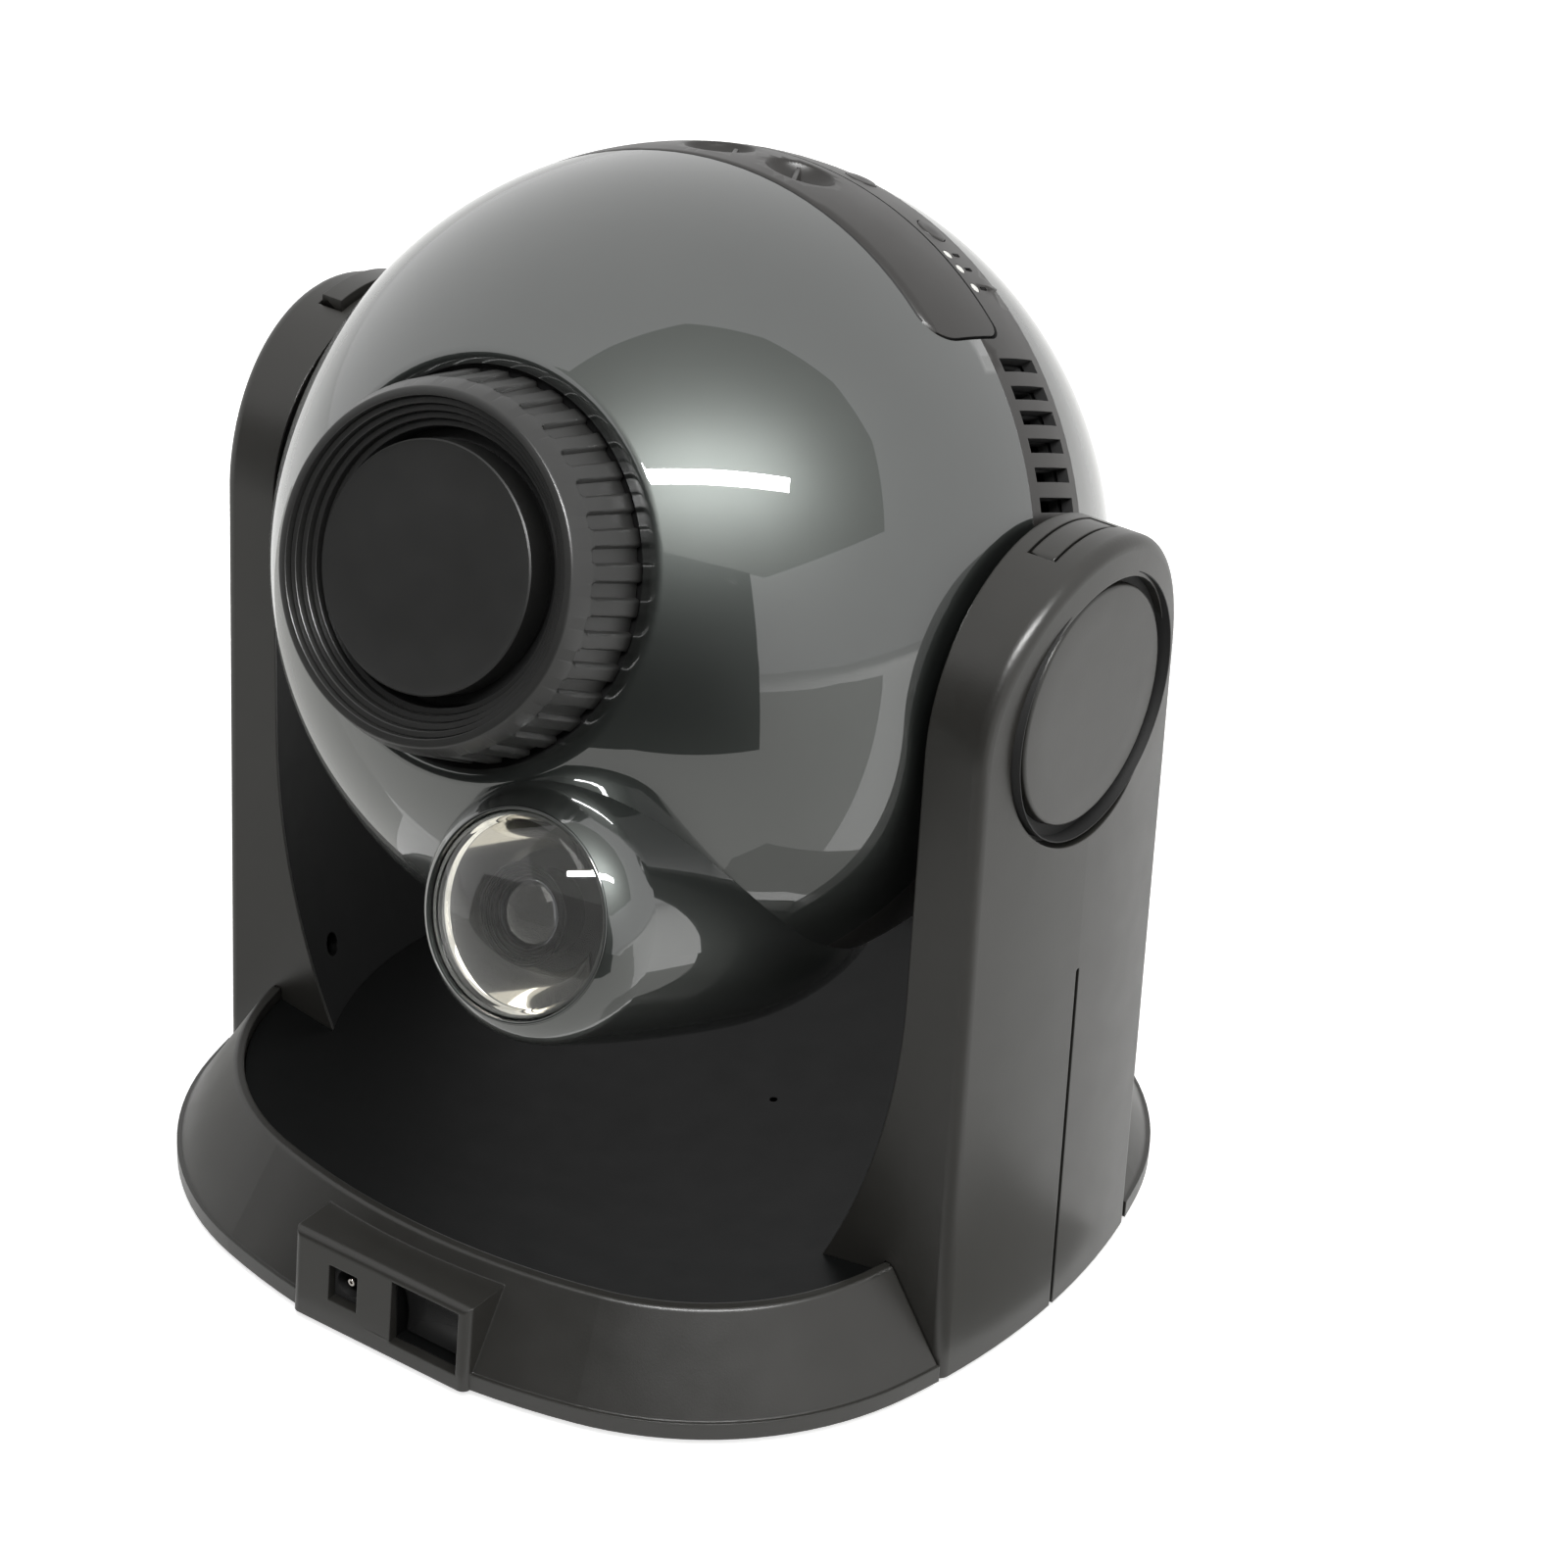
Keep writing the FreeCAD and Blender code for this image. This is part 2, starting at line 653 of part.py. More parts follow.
def bowl(extra):
    """The space between the arms: a ball above the yoke axis, a well below, flared at the foot."""
    wall = dims.bowl_radius + extra
    curve = dims.flare_radius + extra
    drop = dims.flare_height - foot
    foot_radius = root(curve * curve - drop * drop) - (curve - wall)
    return spun([(0, foot), (foot_radius, foot, curve, 1), (wall, dims.flare_height),
                 (wall, pivot, wall, 1), (0, pivot + wall)])


inner_space = bowl(0)
behind_liner = bowl(dims.liner_wall)
low_part = slab(dims.rim_inset + 0.7, foot - 1, crest + dims.small_gap)
over_dish = meet(ball(dims.dish_curve, dish_centre), slab(dish_inset, foot, crest + 1))
foot_relief = cut(low_part, over_dish)
hub_radius = dims.shaft_radius + dims.bush_wall
hub_hole = rod(hub_radius, 70, FAR, (0, pivot), "x")
recess = rod(dims.recess_radius, dims.recess_floor, FAR, (0, pivot), "x")
recess_back = dims.recess_floor - dims.arm_wall
hub_plate = rod(dims.recess_radius + 2.2, recess_back, FAR, (0, pivot), "x")
half_groove = dims.groove_width / 2
groove = cut(join(block((85, FAR), (-half_groove, half_groove), (0, dims.groove_top)),
                  rod(half_groove, 85, FAR, (0, dims.groove_top), "x")), cone(dims.groove_width))
plug_x = (dims.plug_inner, dims.plug_inner + dims.plug_width)
plug_y = (-9.5, 13.7)
plug_floor = rod(dims.arm_half - 1.6, 70, FAR, (0, pivot), "x")
plug_gap = 0.2
plug_pocket = cut(block((plug_x[0] - plug_gap, plug_x[1] + plug_gap),
                        (plug_y[0] - plug_gap, plug_y[1] + plug_gap), (pivot + 20, pivot + 50)), plug_floor)


def on_outer_rim(ends, middle):
    return middle.x > 93 and middle.z > foot.value + 5


arm_solid = rounded(arm_block(0, 0, foot), dims.arm_round.value, on_outer_rim)
core = cut(arm_block(dims.arm_wall, dims.arm_wall, foot - 1), hub_plate)
rabbet = meet(arm_block(dims.liner_inset, 0, foot), behind_liner)
plate_room = slab(dims.base_wall, foot - 1, plate_top)
arm_shell = cut(arm_solid, inner_space, core, rabbet, recess, hub_hole, groove, plug_pocket,
                foot_relief, plate_room)
liner = cut(meet(arm_block(dims.liner_inset, 0, foot), behind_liner), inner_space, foot_relief, hub_hole,
            plug_pocket)
piece("right_arm_shell", arm_shell)
piece("left_arm_shell", mirrored(arm_shell))
piece("right_arm_liner", liner)
wire_hole = rod(2.5, -FAR, -60, (-25.0, 33.0), "x")
piece("left_arm_liner", cut(mirrored(liner), wire_hole))

cap_solid = meet(rod(dims.cap_radius, dims.recess_floor, FAR, (0, pivot), "x"), cone(dims.cap_sink))
cap_room = meet(rod(dims.cap_radius - 2.0, dims.recess_floor - 1, FAR, (0, pivot), "x"),
                cone(dims.cap_sink + dims.cap_wall))
cap_tab = block((dims.recess_floor, dims.recess_floor + 2.4), (-3.0, 3.5),
                (pivot + dims.cap_radius - 1, pivot + dims.recess_radius - 0.2))
pivot_cap = join(cut(cap_solid, cap_room), cap_tab)
piece("right_pivot_cap", pivot_cap)
piece("left_pivot_cap", mirrored(pivot_cap))
PROUD = 2.0


def arm_plug(proud):
    top = rod(dims.arm_half + proud, 70, FAR, (0, pivot), "x")
    return cut(meet(block(plug_x, plug_y, (pivot + 20, pivot + 50)), top), plug_floor)


piece("right_arm_plug", arm_plug(0))
piece("left_arm_plug", mirrored(arm_plug(PROUD)))

ball_side = dims.ball_radius + 0.1
bush_flange = hub_radius + 4.0
flange_back = root(dims.bowl_radius * dims.bowl_radius - bush_flange * bush_flange)
bush = cut(join(rod(hub_radius, ball_side, dims.recess_floor, (0, pivot), "x"),
                rod(bush_flange, ball_side, flange_back, (0, pivot), "x")),
           rod(dims.shaft_radius + dims.run_fit, 70, FAR, (0, pivot), "x"))
piece("right_bush", bush)
piece("left_bush", mirrored(bush))

# ---------------------------------------------------------------- ball shells

outside = dims.ball_radius
inside = outside - dims.shell_wall
band = dims.band_half
tongue_outer = root(inside * inside - dims.tongue_half * dims.tongue_half) - 0.04
tongue_inner = tongue_outer - 2.0
shell = cut(ball(outside), ball(inside))


def layer(low, high):
    """All space between two places along the lens axis."""
    return block((-FAR, FAR), (-FAR, FAR), (low, high))


LID_FRONT_CORNER = 7.5
LID_REAR_CORNER = 3.5
RADIAN = math.degrees(1.0)


def lid_cutter(gap):
    """The lid's outline through the ball's wall, with four rounded corners."""
    gap = sized(gap)
    low = dims.lid_rear + gap
    width = dims.lid_front - dims.lid_rear - 2 * gap
    arc = dims.lid_angle - 2 * RADIAN * gap / dims.ball_radius
    pair = []
    for radius, extra in ((FAR, 0.0), (60.0, 1.0)):
        sector = solid("Cylinder", (0, 0, low - extra), Rotation(Vector(0, 0, 1), 1.0),
                       Radius=radius, Height=width + 2 * extra, Angle=arc)
        sector.setExpression("Placement.Rotation.Angle", (90 - arc / 2).formula)
        pair.append(sector)
    whole = cut(*pair)
    front = (low + width).value
    back = low.value

    def radial_at(place_along):
        return lambda ends, mid: (all(abs(p.z - place_along) < 0.01 for p in (*ends, mid))
                                  and abs(ends[0].Length - ends[1].Length) > 20)

    whole = rounded(whole, LID_FRONT_CORNER - gap.value, radial_at(front))
    return rounded(whole, LID_REAR_CORNER - gap.value, radial_at(back))


lid_opening = lid_cutter(0)

LENS_FLANGE = 34.0
seat_floor = dims.ring_rear - 0.9
seat_radius = dims.ring_radius + 1.0
seat_back = seat_floor - dims.shell_wall
pod_axis = (dims.pod_across, -dims.pod_drop)
POD_PORT = 20.0
front_wall = join(meet(shell, layer(band, FAR)), rod(seat_radius + 1.2, seat_back, seat_floor))
piece("front_shell", cut(front_wall, rod(seat_radius, seat_floor, FAR), rod(dims.mount_radius, 60, FAR),
                         rod(POD_PORT, 40, FAR, pod_axis), lid_opening), HEAD)

LUG_AT = 53.7
LUG_LOW = -14.0
lug_spots = [(LUG_AT * i, LUG_AT * j) for i, j in CORNERS]


def shell_screws():
    return join(*[screw(-38.0, -7.0, at) for at in lug_spots])


shell_posts = meet(join(*[rod(4.8, -60, LUG_LOW, at) for at in lug_spots]), ball(outside))
post_wells = [rod(SCREW_HEAD + 0.3, -60, -36, at) for at in lug_spots]
rear_wall = join(meet(shell, layer(-FAR, -band)), shell_posts)
piece("rear_shell", cut(rear_wall, shell_screws(), *post_wells), HEAD)
piece("head_screws", shell_screws(), HEAD)

VENTS = (46.0, 50.0, 53.5, 57.3, 61.2, 65.2)
VENT_HALF = 1.5
VENT_REACH = 6.9
BUTTON_ANGLES = (9.3, 22.6)
BUTTON_FORWARD = (-4.5, -3.6)
BUTTON_RADIUS = 3.4
LED_ANGLES = (27.6, 30.3, 33.7)
LED_FORWARD = -0.3
LED_RADIUS = 1.2
BOARD_ANGLE = 16.0
BOARD_WALL = 1.6
BOSS_RADIUS = 17.0
boss_seat = 76.0
hub_boss = [meet(rod(BOSS_RADIUS, boss_seat, 90, (0, 0), "x"), ball(inside)),
            meet(rod(BOSS_RADIUS, -90, -boss_seat, (0, 0), "x"), ball(inside))]
lugs = meet(join(*[rod(7.0, LUG_LOW, -6.0, at) for at in lug_spots]), ball(tongue_outer))
board_back = 74.4
board_front = board_back + BOARD_WALL
posts = join(*[leaning_block((at - 1.5, at + 1.5), (board_front, 84), forward, BOARD_ANGLE)
               for at, forward in ((-14.5, (-1.0, 1.7)), (25.5, (-9.0, -6.0)))])
band_body = join(meet(shell, layer(-band, band)),
                 tube(tongue_outer, tongue_inner, -dims.tongue_half, dims.tongue_half), lugs, posts, *hub_boss)
vents = [leaning_block((-VENT_HALF, VENT_HALF), (78, 92), (-VENT_REACH, VENT_REACH), way * angle)
         for angle in VENTS for way in (1, -1)]
button_holes = [spoke(BUTTON_RADIUS + 0.15, 79, 92, angle, forward)
                for angle, forward in zip(BUTTON_ANGLES, BUTTON_FORWARD)]
led_holes = [spoke(LED_RADIUS, 79, 92, angle, LED_FORWARD) for angle in LED_ANGLES]
shaft_hole = rod(dims.shaft_radius, -FAR, FAR, (0, 0), "x")
lug_holes = [rod(SCREW_RADIUS, -20, 0, at) for at in lug_spots]
piece("centre_band", cut(band_body, lid_opening, shaft_hole, *vents, *button_holes, *led_holes,
                         *lug_holes), HEAD)

# ---------------------------------------------------------------- trunnions

clip_seat = dims.recess_floor + 0.1
clip_end = clip_seat + 0.8
flange_low = boss_seat - 3
shaft = join(rod(BOSS_RADIUS, flange_low, boss_seat, (0, 0), "x"),
             rod(dims.shaft_radius, flange_low, dims.shaft_end, (0, 0), "x"))
wire_bore = rod(dims.shaft_radius - 4, 60, FAR, (0, 0), "x")
clip_groove = tube(dims.shaft_radius + 1, dims.shaft_radius - 1, clip_seat, clip_end, (0, 0), "x")
right_trunnion = cut(shaft, wire_bore, clip_groove)
left_trunnion = mirrored(cut(shaft, wire_bore, clip_groove))
clip = cut(tube(dims.shaft_radius + 2.5, dims.shaft_radius - 1, clip_seat, clip_end, (0, 0), "x"),
           block((90, FAR), (-5, 5), (-30, 0)))
washer_low = root(outside * outside - dims.shaft_radius * dims.shaft_radius)
washer = tube(dims.shaft_radius + 5.5, dims.shaft_radius, washer_low, ball_side - 0.05, (0, 0), "x")
piece("right_trunnion", right_trunnion, HEAD)
piece("left_trunnion", left_trunnion, HEAD)
piece("shaft_clips", join(clip, mirrored(clip)), HEAD)
piece("friction_washers", join(washer, mirrored(washer)), HEAD)

# ---------------------------------------------------------------- lamp and chassis

plate_low = 4.5
plate_high = 7.5
TRAY_LOW = 14.2
TRAY_HIGH = 17.3
RAIL_X = (45.0, 49.5)
TRAY_HALF = 46.8
slide_gap = 0.1
PINION_AT = -46.1
LIGHT_RADIUS = 33.0
rail_y = (-50.0, 60.0)
rail_z = (plate_high - 0.5, TRAY_HIGH + 3.0)
rails = [block(RAIL_X, rail_y, rail_z), block((-RAIL_X[1], -RAIL_X[0]), rail_y, rail_z)]
tray_slot = block((-TRAY_HALF - slide_gap, TRAY_HALF + slide_gap), (-60, 70),
                  (TRAY_LOW - slide_gap, TRAY_HIGH + slide_gap))
chassis = join(rod(tongue_inner, plate_low, plate_high), *rails)
tray_way_out = block((-FAR, FAR), (60.5, FAR), (0, 40))
trunnion_room = [block((71, FAR), (-19, 19), (0, 40)), block((-FAR, -71), (-19, 19), (0, 40))]
spindle_hole = rod(1.6, 0, 10, (0, PINION_AT))
piece("disc_chassis", cut(chassis, tray_slot, rod(LIGHT_RADIUS, 0, 10), tray_way_out, *trunnion_room,
                          spindle_hole), HEAD)

HOLDER_REAR = -38.4
LENS_SEAT = -4.0
lens_rim = LIGHT_RADIUS + 0.2
piece("condenser_holder", turned("condenser_holder", [
    (lens_rim, plate_low), (36.0, plate_low), (36.0, -8.0), (22.0, -34.0), (22.0, HOLDER_REAR),
    (6.0, HOLDER_REAR), (6.0, HOLDER_REAR + 2), (18.5, HOLDER_REAR + 3.4), (31.0, -8.0),
    (31.0, LENS_SEAT), (lens_rim, LENS_SEAT)]), HEAD)
piece("condenser_lens", turned("condenser_lens", [
    (0, LENS_SEAT), (lens_rim, LENS_SEAT), (lens_rim, -1.0, cap_curve(lens_rim, 5.3), 1), (0, 4.3)]), HEAD)
lamp_back = HOLDER_REAR - 1.6
lamp_chip = HOLDER_REAR + 0.8
chip = block((-3.5, 3.5), (-3.5, 3.5), (HOLDER_REAR, lamp_chip))
chip_dome = meet(ball(3.0, (0, 0, lamp_chip)), layer(HOLDER_REAR, 0))
piece("lamp_board", join(rod(20.0, lamp_back, HOLDER_REAR), chip, chip_dome), HEAD)
sink = (-22, 22)
sink_foot = lamp_back - 3.2
fins = [block((at - 0.8, at + 0.8), sink, (sink_foot - 18, sink_foot + 0.2)) for at in range(-21, 22, 6)]
piece("heat_sink", join(block(sink, sink, (sink_foot, lamp_back)), *fins), HEAD)

# ---------------------------------------------------------------- star disc and its drive

HEEL_HALF = 0.98
TIP_HALF = 0.30


def toothed_wheel(teeth, tip, heel, low, high, start):
    """A spur wheel with slim straight sided teeth, drawn as one closed outline."""
    step = 2 * math.pi / teeth
    corners = []
    for tooth in range(teeth):
        middle = start + tooth * step
        for radius, half in ((heel, HEEL_HALF), (tip, TIP_HALF), (tip, -TIP_HALF), (heel, -HEEL_HALF)):
            angle = middle - half / radius
            corners.append(Vector(radius * math.cos(angle), radius * math.sin(angle), low))
    face = Part.Face(Part.makePolygon(corners + corners[:1]))
    return face.extrude(Vector(0, 0, high - low))


GEAR_LOW = 11.4
GEAR_HIGH = 13.9
gear_count = int(dims.gear_teeth.value)
pinion_count = int(dims.pinion_teeth.value)
gear_pitch = gear_count / 2
pinion_pitch = pinion_count / 2
teeth_ring = doc.addObject("Part::Feature", "GearTeeth")
teeth_ring.Shape = toothed_wheel(gear_count, gear_pitch + 0.8, gear_pitch - 1.0, GEAR_LOW, GEAR_HIGH,
                                 -math.pi / 2)
hub = 40.0
clip_low = TRAY_HIGH + slide_gap
carrier = join(teeth_ring, rod(hub, GEAR_LOW, clip_low))
disc_seat = dims.tray_plane - 0.6
piece("disc_carrier", cut(carrier, rod(LIGHT_RADIUS + 1, 0, 40), rod(dims.disc_radius, disc_seat, 40)), HEAD)
piece("star_disc", cut(rod(dims.disc_radius, disc_seat, disc_seat + 1.2), rod(0.6, 0, 40)), HEAD)
piece("disc_clip_ring", tube(gear_pitch + 0.6, dims.disc_radius - 1.5, clip_low, clip_low + 1.0), HEAD)
grip_block = block((-21, 21), (79.5, FAR), (4.5, 22.5))
tray_plate = meet(block((-TRAY_HALF, TRAY_HALF), (-44.0, FAR), (TRAY_LOW, TRAY_HIGH)), ball(inside))
piece("disc_tray", cut(tray_plate, rod(hub + dims.run_fit, 0, 40), grip_block), HEAD)
lid_wall = meet(lid_cutter(dims.lid_gap), shell)
lid_grip = meet(lid_cutter(dims.lid_gap), grip_block, ball(outside))
FINGER_ACROSS = 10.7
FINGER_FORWARD = 13.3
finger = [solid("Ellipsoid", (way * FINGER_ACROSS, outside + 0.6, FINGER_FORWARD),
                Radius1=7.6, Radius2=8.6, Radius3=6.4) for way in (1, -1)]
piece("tray_lid", cut(join(lid_wall, lid_grip), *finger), HEAD)

PINION_SPOT = (0, PINION_AT)
SPINDLE = 1.2
MOTOR_REAR = -24.0
pinion_wheel = doc.addObject("Part::Feature", "PinionTeeth")
pinion_wheel.Shape = toothed_wheel(pinion_count, pinion_pitch + 0.7, pinion_pitch - 1.2, GEAR_LOW,
                                   GEAR_HIGH - 0.2, math.pi / 2 + math.pi / pinion_count)
pinion_wheel.Placement = Placement(Vector(0, PINION_AT, 0), Rotation())
piece("drive_pinion", join(pinion_wheel, rod(2.6, plate_high + 0.4, GEAR_LOW + 0.5, PINION_SPOT),
                           rod(SPINDLE, -12.0, GEAR_LOW + 1, PINION_SPOT)), HEAD)
motor = join(rod(8.6, MOTOR_REAR, plate_low, PINION_SPOT), rod(3.0, MOTOR_REAR - 2, MOTOR_REAR, PINION_SPOT))
piece("disc_motor", cut(motor, rod(SPINDLE + dims.run_fit, -13.0, FAR, PINION_SPOT)), HEAD)

# ---------------------------------------------------------------- projection lens

piece("lens_mount", turned("lens_mount", [
    (dims.barrel_radius + dims.run_fit, 44.0), (dims.mount_radius, 44.0), (dims.mount_radius, seat_back - 2.5),
    (LENS_FLANGE, seat_back - 2.5), (LENS_FLANGE, seat_back), (dims.mount_radius, seat_back),
    (dims.mount_radius, dims.mount_front), (dims.barrel_radius + dims.run_fit, dims.mount_front)]), HEAD)
piece("retaining_ring", turned("retaining_ring", [
    (dims.barrel_radius + 0.2, dims.mount_front), (dims.mount_radius + 0.6, dims.mount_front),
    (dims.mount_radius + 0.6, dims.mount_front + 1), (dims.barrel_radius + 0.2, dims.mount_front + 1)]), HEAD)
BARREL_REAR = 47.0
BARREL_FRONT = 92.0
GLASS = dims.barrel_radius - 2.5
piece("lens_barrel", turned("lens_barrel", [
    (GLASS, BARREL_REAR), (dims.barrel_radius, BARREL_REAR), (dims.barrel_radius, BARREL_FRONT),
    (GLASS, BARREL_FRONT), (GLASS, 80.0), (GLASS - 1.5, 80.0), (GLASS - 1.5, 56.0), (GLASS, 56.0)]), HEAD)
piece("front_lens", turned("front_lens", [
    (0, 78.5), (GLASS - 4.0, 80.0), (GLASS, 80.0), (GLASS, 84.0, cap_curve(GLASS, 5.0), 1), (0, 89.0)]), HEAD)
piece("rear_lens", turned("rear_lens", [
    (0, 48.5), (GLASS, 51.5), (GLASS, 56.0), (0, 56.0)]), HEAD)
piece("lens_lock_ring", turned("lens_lock_ring", [
    (GLASS - 1.6, 47.5), (GLASS, 47.5), (GLASS, 51.5), (GLASS - 1.6, 51.27)]), HEAD)
CAP_SKIRT = 87.9
CAP_WALL = 1.8
CAP_BEVEL = 0.5
cap_bore = dims.barrel_radius + dims.run_fit
piece("lens_cap", turned("lens_cap", [
    (0, dims.lens_cap_face - CAP_WALL), (cap_bore, dims.lens_cap_face - CAP_WALL), (cap_bore, CAP_SKIRT),
    (dims.lens_cap_radius, CAP_SKIRT), (dims.lens_cap_radius, dims.lens_cap_face - CAP_BEVEL),
    (dims.lens_cap_radius - CAP_BEVEL, dims.lens_cap_face), (0, dims.lens_cap_face)]), HEAD)

HOOD_STEPS = 4
HOOD_RIM = 1.6
RING_BEVEL = 4.0


def focus_ring():
    """Ribbed grip outside, four steps down to the lens inside, a running hub on the lens tube."""
    rear = dims.ring_rear
    face = dims.ring_face
    bevel = face - RING_BEVEL
    hub_bore = dims.mount_radius + dims.run_fit
    hub_front = dims.mount_front - 0.1
    corners = [(hub_bore, rear), (dims.ring_radius, rear), (dims.ring_front, bevel), (dims.ring_nose, face)]
    edge = dims.ring_nose - HOOD_RIM
    floor = face
    corners.append((edge, floor))
    for _ in range(HOOD_STEPS):
        floor = floor - dims.hood_rise
        corners.append((edge, floor))
        edge = edge - dims.hood_step
        corners.append((edge, floor))
    corners += [(edge, hub_front), (hub_bore, hub_front)]
    body = turned("focus_ring", corners)
    hollow = rib_hollow(body, rear, bevel)
    ring = body.newObject("PartDesign::PolarPattern", "rib_hollows")
    ring.Originals = [hollow]
    ring.Axis = ([f for f in body.Origin.OriginFeatures if f.Role == "Z_Axis"][0], [""])
    ring.Angle = 360
    ring.Occurrences = int(dims.ring_ribs.value)
    body.Tip = ring
    return body


def rib_hollow(body, rear, bevel):
    """One hollow between two ribs: round at its front end, open at the rear edge.

    Its outline lies in a plane that leans with the grip's taper, and everything outside that plane goes.
    """
    half = dims.rib_gap / 2
    run = bevel - rear
    lean = math.degrees(math.atan2((dims.ring_radius - dims.ring_front).value, run.value))
    sketch = body.newObject("Sketcher::SketchObject", "rib_hollow_outline")
    sketch.AttachmentSupport = ([f for f in body.Origin.OriginFeatures if f.Role == "XZ_Plane"][0], [""])
    sketch.MapMode = "FlatFace"
    sketch.AttachmentOffset = Placement(Vector(0, 0, 0), Rotation(Vector(1, 0, 0), -lean))
    sketch.setExpression("AttachmentOffset.Base.y", rear.formula)
    sketch.setExpression("AttachmentOffset.Base.z", (dims.ring_radius - dims.rib_depth).formula)
    outline(sketch, [(-half, -2), (half, -2), (half, run - half, half, 1), (-half, run - half)])
    hollow = body.newObject("PartDesign::Pocket", "rib_hollow")
    hollow.Profile = sketch
    hollow.Reversed = True
    return bind(hollow, Length=4)


piece("focus_ring", focus_ring(), HEAD)

# ---------------------------------------------------------------- shooting star pod

BEZEL_RADIUS = dims.window_radius + 1.0
WINDOW_SEAT = 81.2
WINDOW_WALL = 1.4
OPTIC_SEAT = 79.4
DOME_FOOT = WINDOW_SEAT + 1.0


def pod_form(inset):
    """The pod's outside, or its inside when inset by the wall."""
    thick = dims.pod_radius - inset
    shoulder = dims.pod_shoulder_radius - inset
    rise = dims.pod_shoulder - dims.pod_middle
    sag = thick - shoulder
    side_curve = (rise * rise + sag * sag) / (2 * sag)
    front = spun([(0, dims.pod_middle), (thick, dims.pod_middle, side_curve, 1),
                  (shoulder, dims.pod_shoulder, dims.pod_nose_curve - inset, 1),
                  (BEZEL_RADIUS - inset / 2, dims.pod_nose - inset), (0, dims.pod_nose - inset)])
    tail = solid("Ellipsoid", (0, 0, dims.pod_middle), Radius1=dims.pod_tail - inset, Radius2=thick,
                 Radius3=thick, Angle1=-90, Angle2=0)
    return place(join(front, tail), (dims.pod_across, -dims.pod_drop, 0))


pod_shell = cut(pod_form(0), pod_form(dims.pod_wall), ball(outside), rod(BEZEL_RADIUS, 70, FAR, pod_axis))
piece("meteor_pod", pod_shell, HEAD)
window_curve = cap_curve(dims.window_radius, dims.window_rise)
dome_centre = (*pod_axis, DOME_FOOT + dims.window_rise - window_curve)
window_bore = dims.window_radius - WINDOW_WALL
window_skin = cut(ball(window_curve, dome_centre), ball(window_curve - WINDOW_WALL, dome_centre))
window_foot = tube(dims.window_radius, window_bore, WINDOW_SEAT, DOME_FOOT + 0.3, pod_axis)
window_dome = meet(window_skin, rod(dims.window_radius, DOME_FOOT - 0.1, FAR, pod_axis))
piece("meteor_window", join(window_dome, window_foot), HEAD)
bezel = cut(rod(BEZEL_RADIUS, OPTIC_SEAT, dims.pod_nose + 0.4, pod_axis),
            rod(dims.window_radius, WINDOW_SEAT, FAR, pod_axis), rod(window_bore, 70, FAR, pod_axis))
piece("meteor_bezel", bezel, HEAD)


def on_pod(corners):
    """A turned piece on the pod's own axis, its placement settled so that it can be placed with the head."""
    item = place(spun(corners), (dims.pod_across, -dims.pod_drop, 0))
    return meet(item, layer(-FAR, FAR))


POD_LENS = 10.0
POD_LENS_LIP = 9.0
POD_LENS_SEAT = 68.6
POD_BOARD = 54.0
POD_FLANGE = 60.0
REFLECTOR_REAR = 70.0
reflector_edge = OPTIC_SEAT - 1
piece("meteor_reflector", on_pod([
    (18.8, OPTIC_SEAT), (20.6, OPTIC_SEAT), (20.6, reflector_edge), (18.9, reflector_edge),
    (12.4, REFLECTOR_REAR), (11.4, REFLECTOR_REAR)]), HEAD)
piece("meteor_barrel", on_pod([
    (POD_LENS, POD_BOARD), (12.0, POD_BOARD), (12.0, POD_FLANGE), (19.8, POD_FLANGE), (19.8, POD_FLANGE + 2),
    (12.4, POD_FLANGE + 2), (12.4, REFLECTOR_REAR), (POD_LENS_LIP, REFLECTOR_REAR),
    (POD_LENS_LIP, POD_LENS_SEAT), (POD_LENS, POD_LENS_SEAT)]), HEAD)
piece("meteor_lens", on_pod([
    (0, POD_LENS_SEAT - 3.2), (POD_LENS, POD_LENS_SEAT - 3.2), (POD_LENS, POD_LENS_SEAT),
    (POD_LENS_LIP, POD_LENS_SEAT), (POD_LENS_LIP, POD_LENS_SEAT + 0.8, cap_curve(POD_LENS_LIP, 3.2), 1),
    (0, POD_LENS_SEAT + 4)]), HEAD)
piece("meteor_board", join(rod(14.0, POD_BOARD - 1.6, POD_BOARD, pod_axis),
                           rod(2.4, POD_BOARD, POD_BOARD + 3, pod_axis)), HEAD)

# ---------------------------------------------------------------- control strip

KEY_TOP = 78.6
KEY_HALF = 2.8
BUTTON_FOOT = 80.6
BUTTON_PROUD = 0.5
board = leaning_block((-16, 27), (board_back, board_front), (-9.4, 1.8), BOARD_ANGLE)
key_offsets = [math.tan(math.radians(angle - BOARD_ANGLE)) * KEY_TOP for angle in BUTTON_ANGLES]
keys = [leaning_block((at - KEY_HALF, at + KEY_HALF), (board_front, KEY_TOP),
                      (forward - KEY_HALF, forward + KEY_HALF), BOARD_ANGLE)
        for at, forward in zip(key_offsets, BUTTON_FORWARD)]
piece("control_board", join(board, *keys), HEAD)
piece("status_windows", join(*[spoke(LED_RADIUS, 80.4, outside, angle, LED_FORWARD)
                               for angle in LED_ANGLES]), HEAD)
for name, angle, forward in zip(("timer_button", "meteor_button"), BUTTON_ANGLES, BUTTON_FORWARD):
    stem = spoke(BUTTON_RADIUS, BUTTON_FOOT, outside + BUTTON_PROUD, angle, forward)
    flange = spoke(BUTTON_RADIUS + 1.2, BUTTON_FOOT, BUTTON_FOOT + 1.2, angle, forward)
    piece(name, join(stem, flange), HEAD)

# ---------------------------------------------------------------- check and write

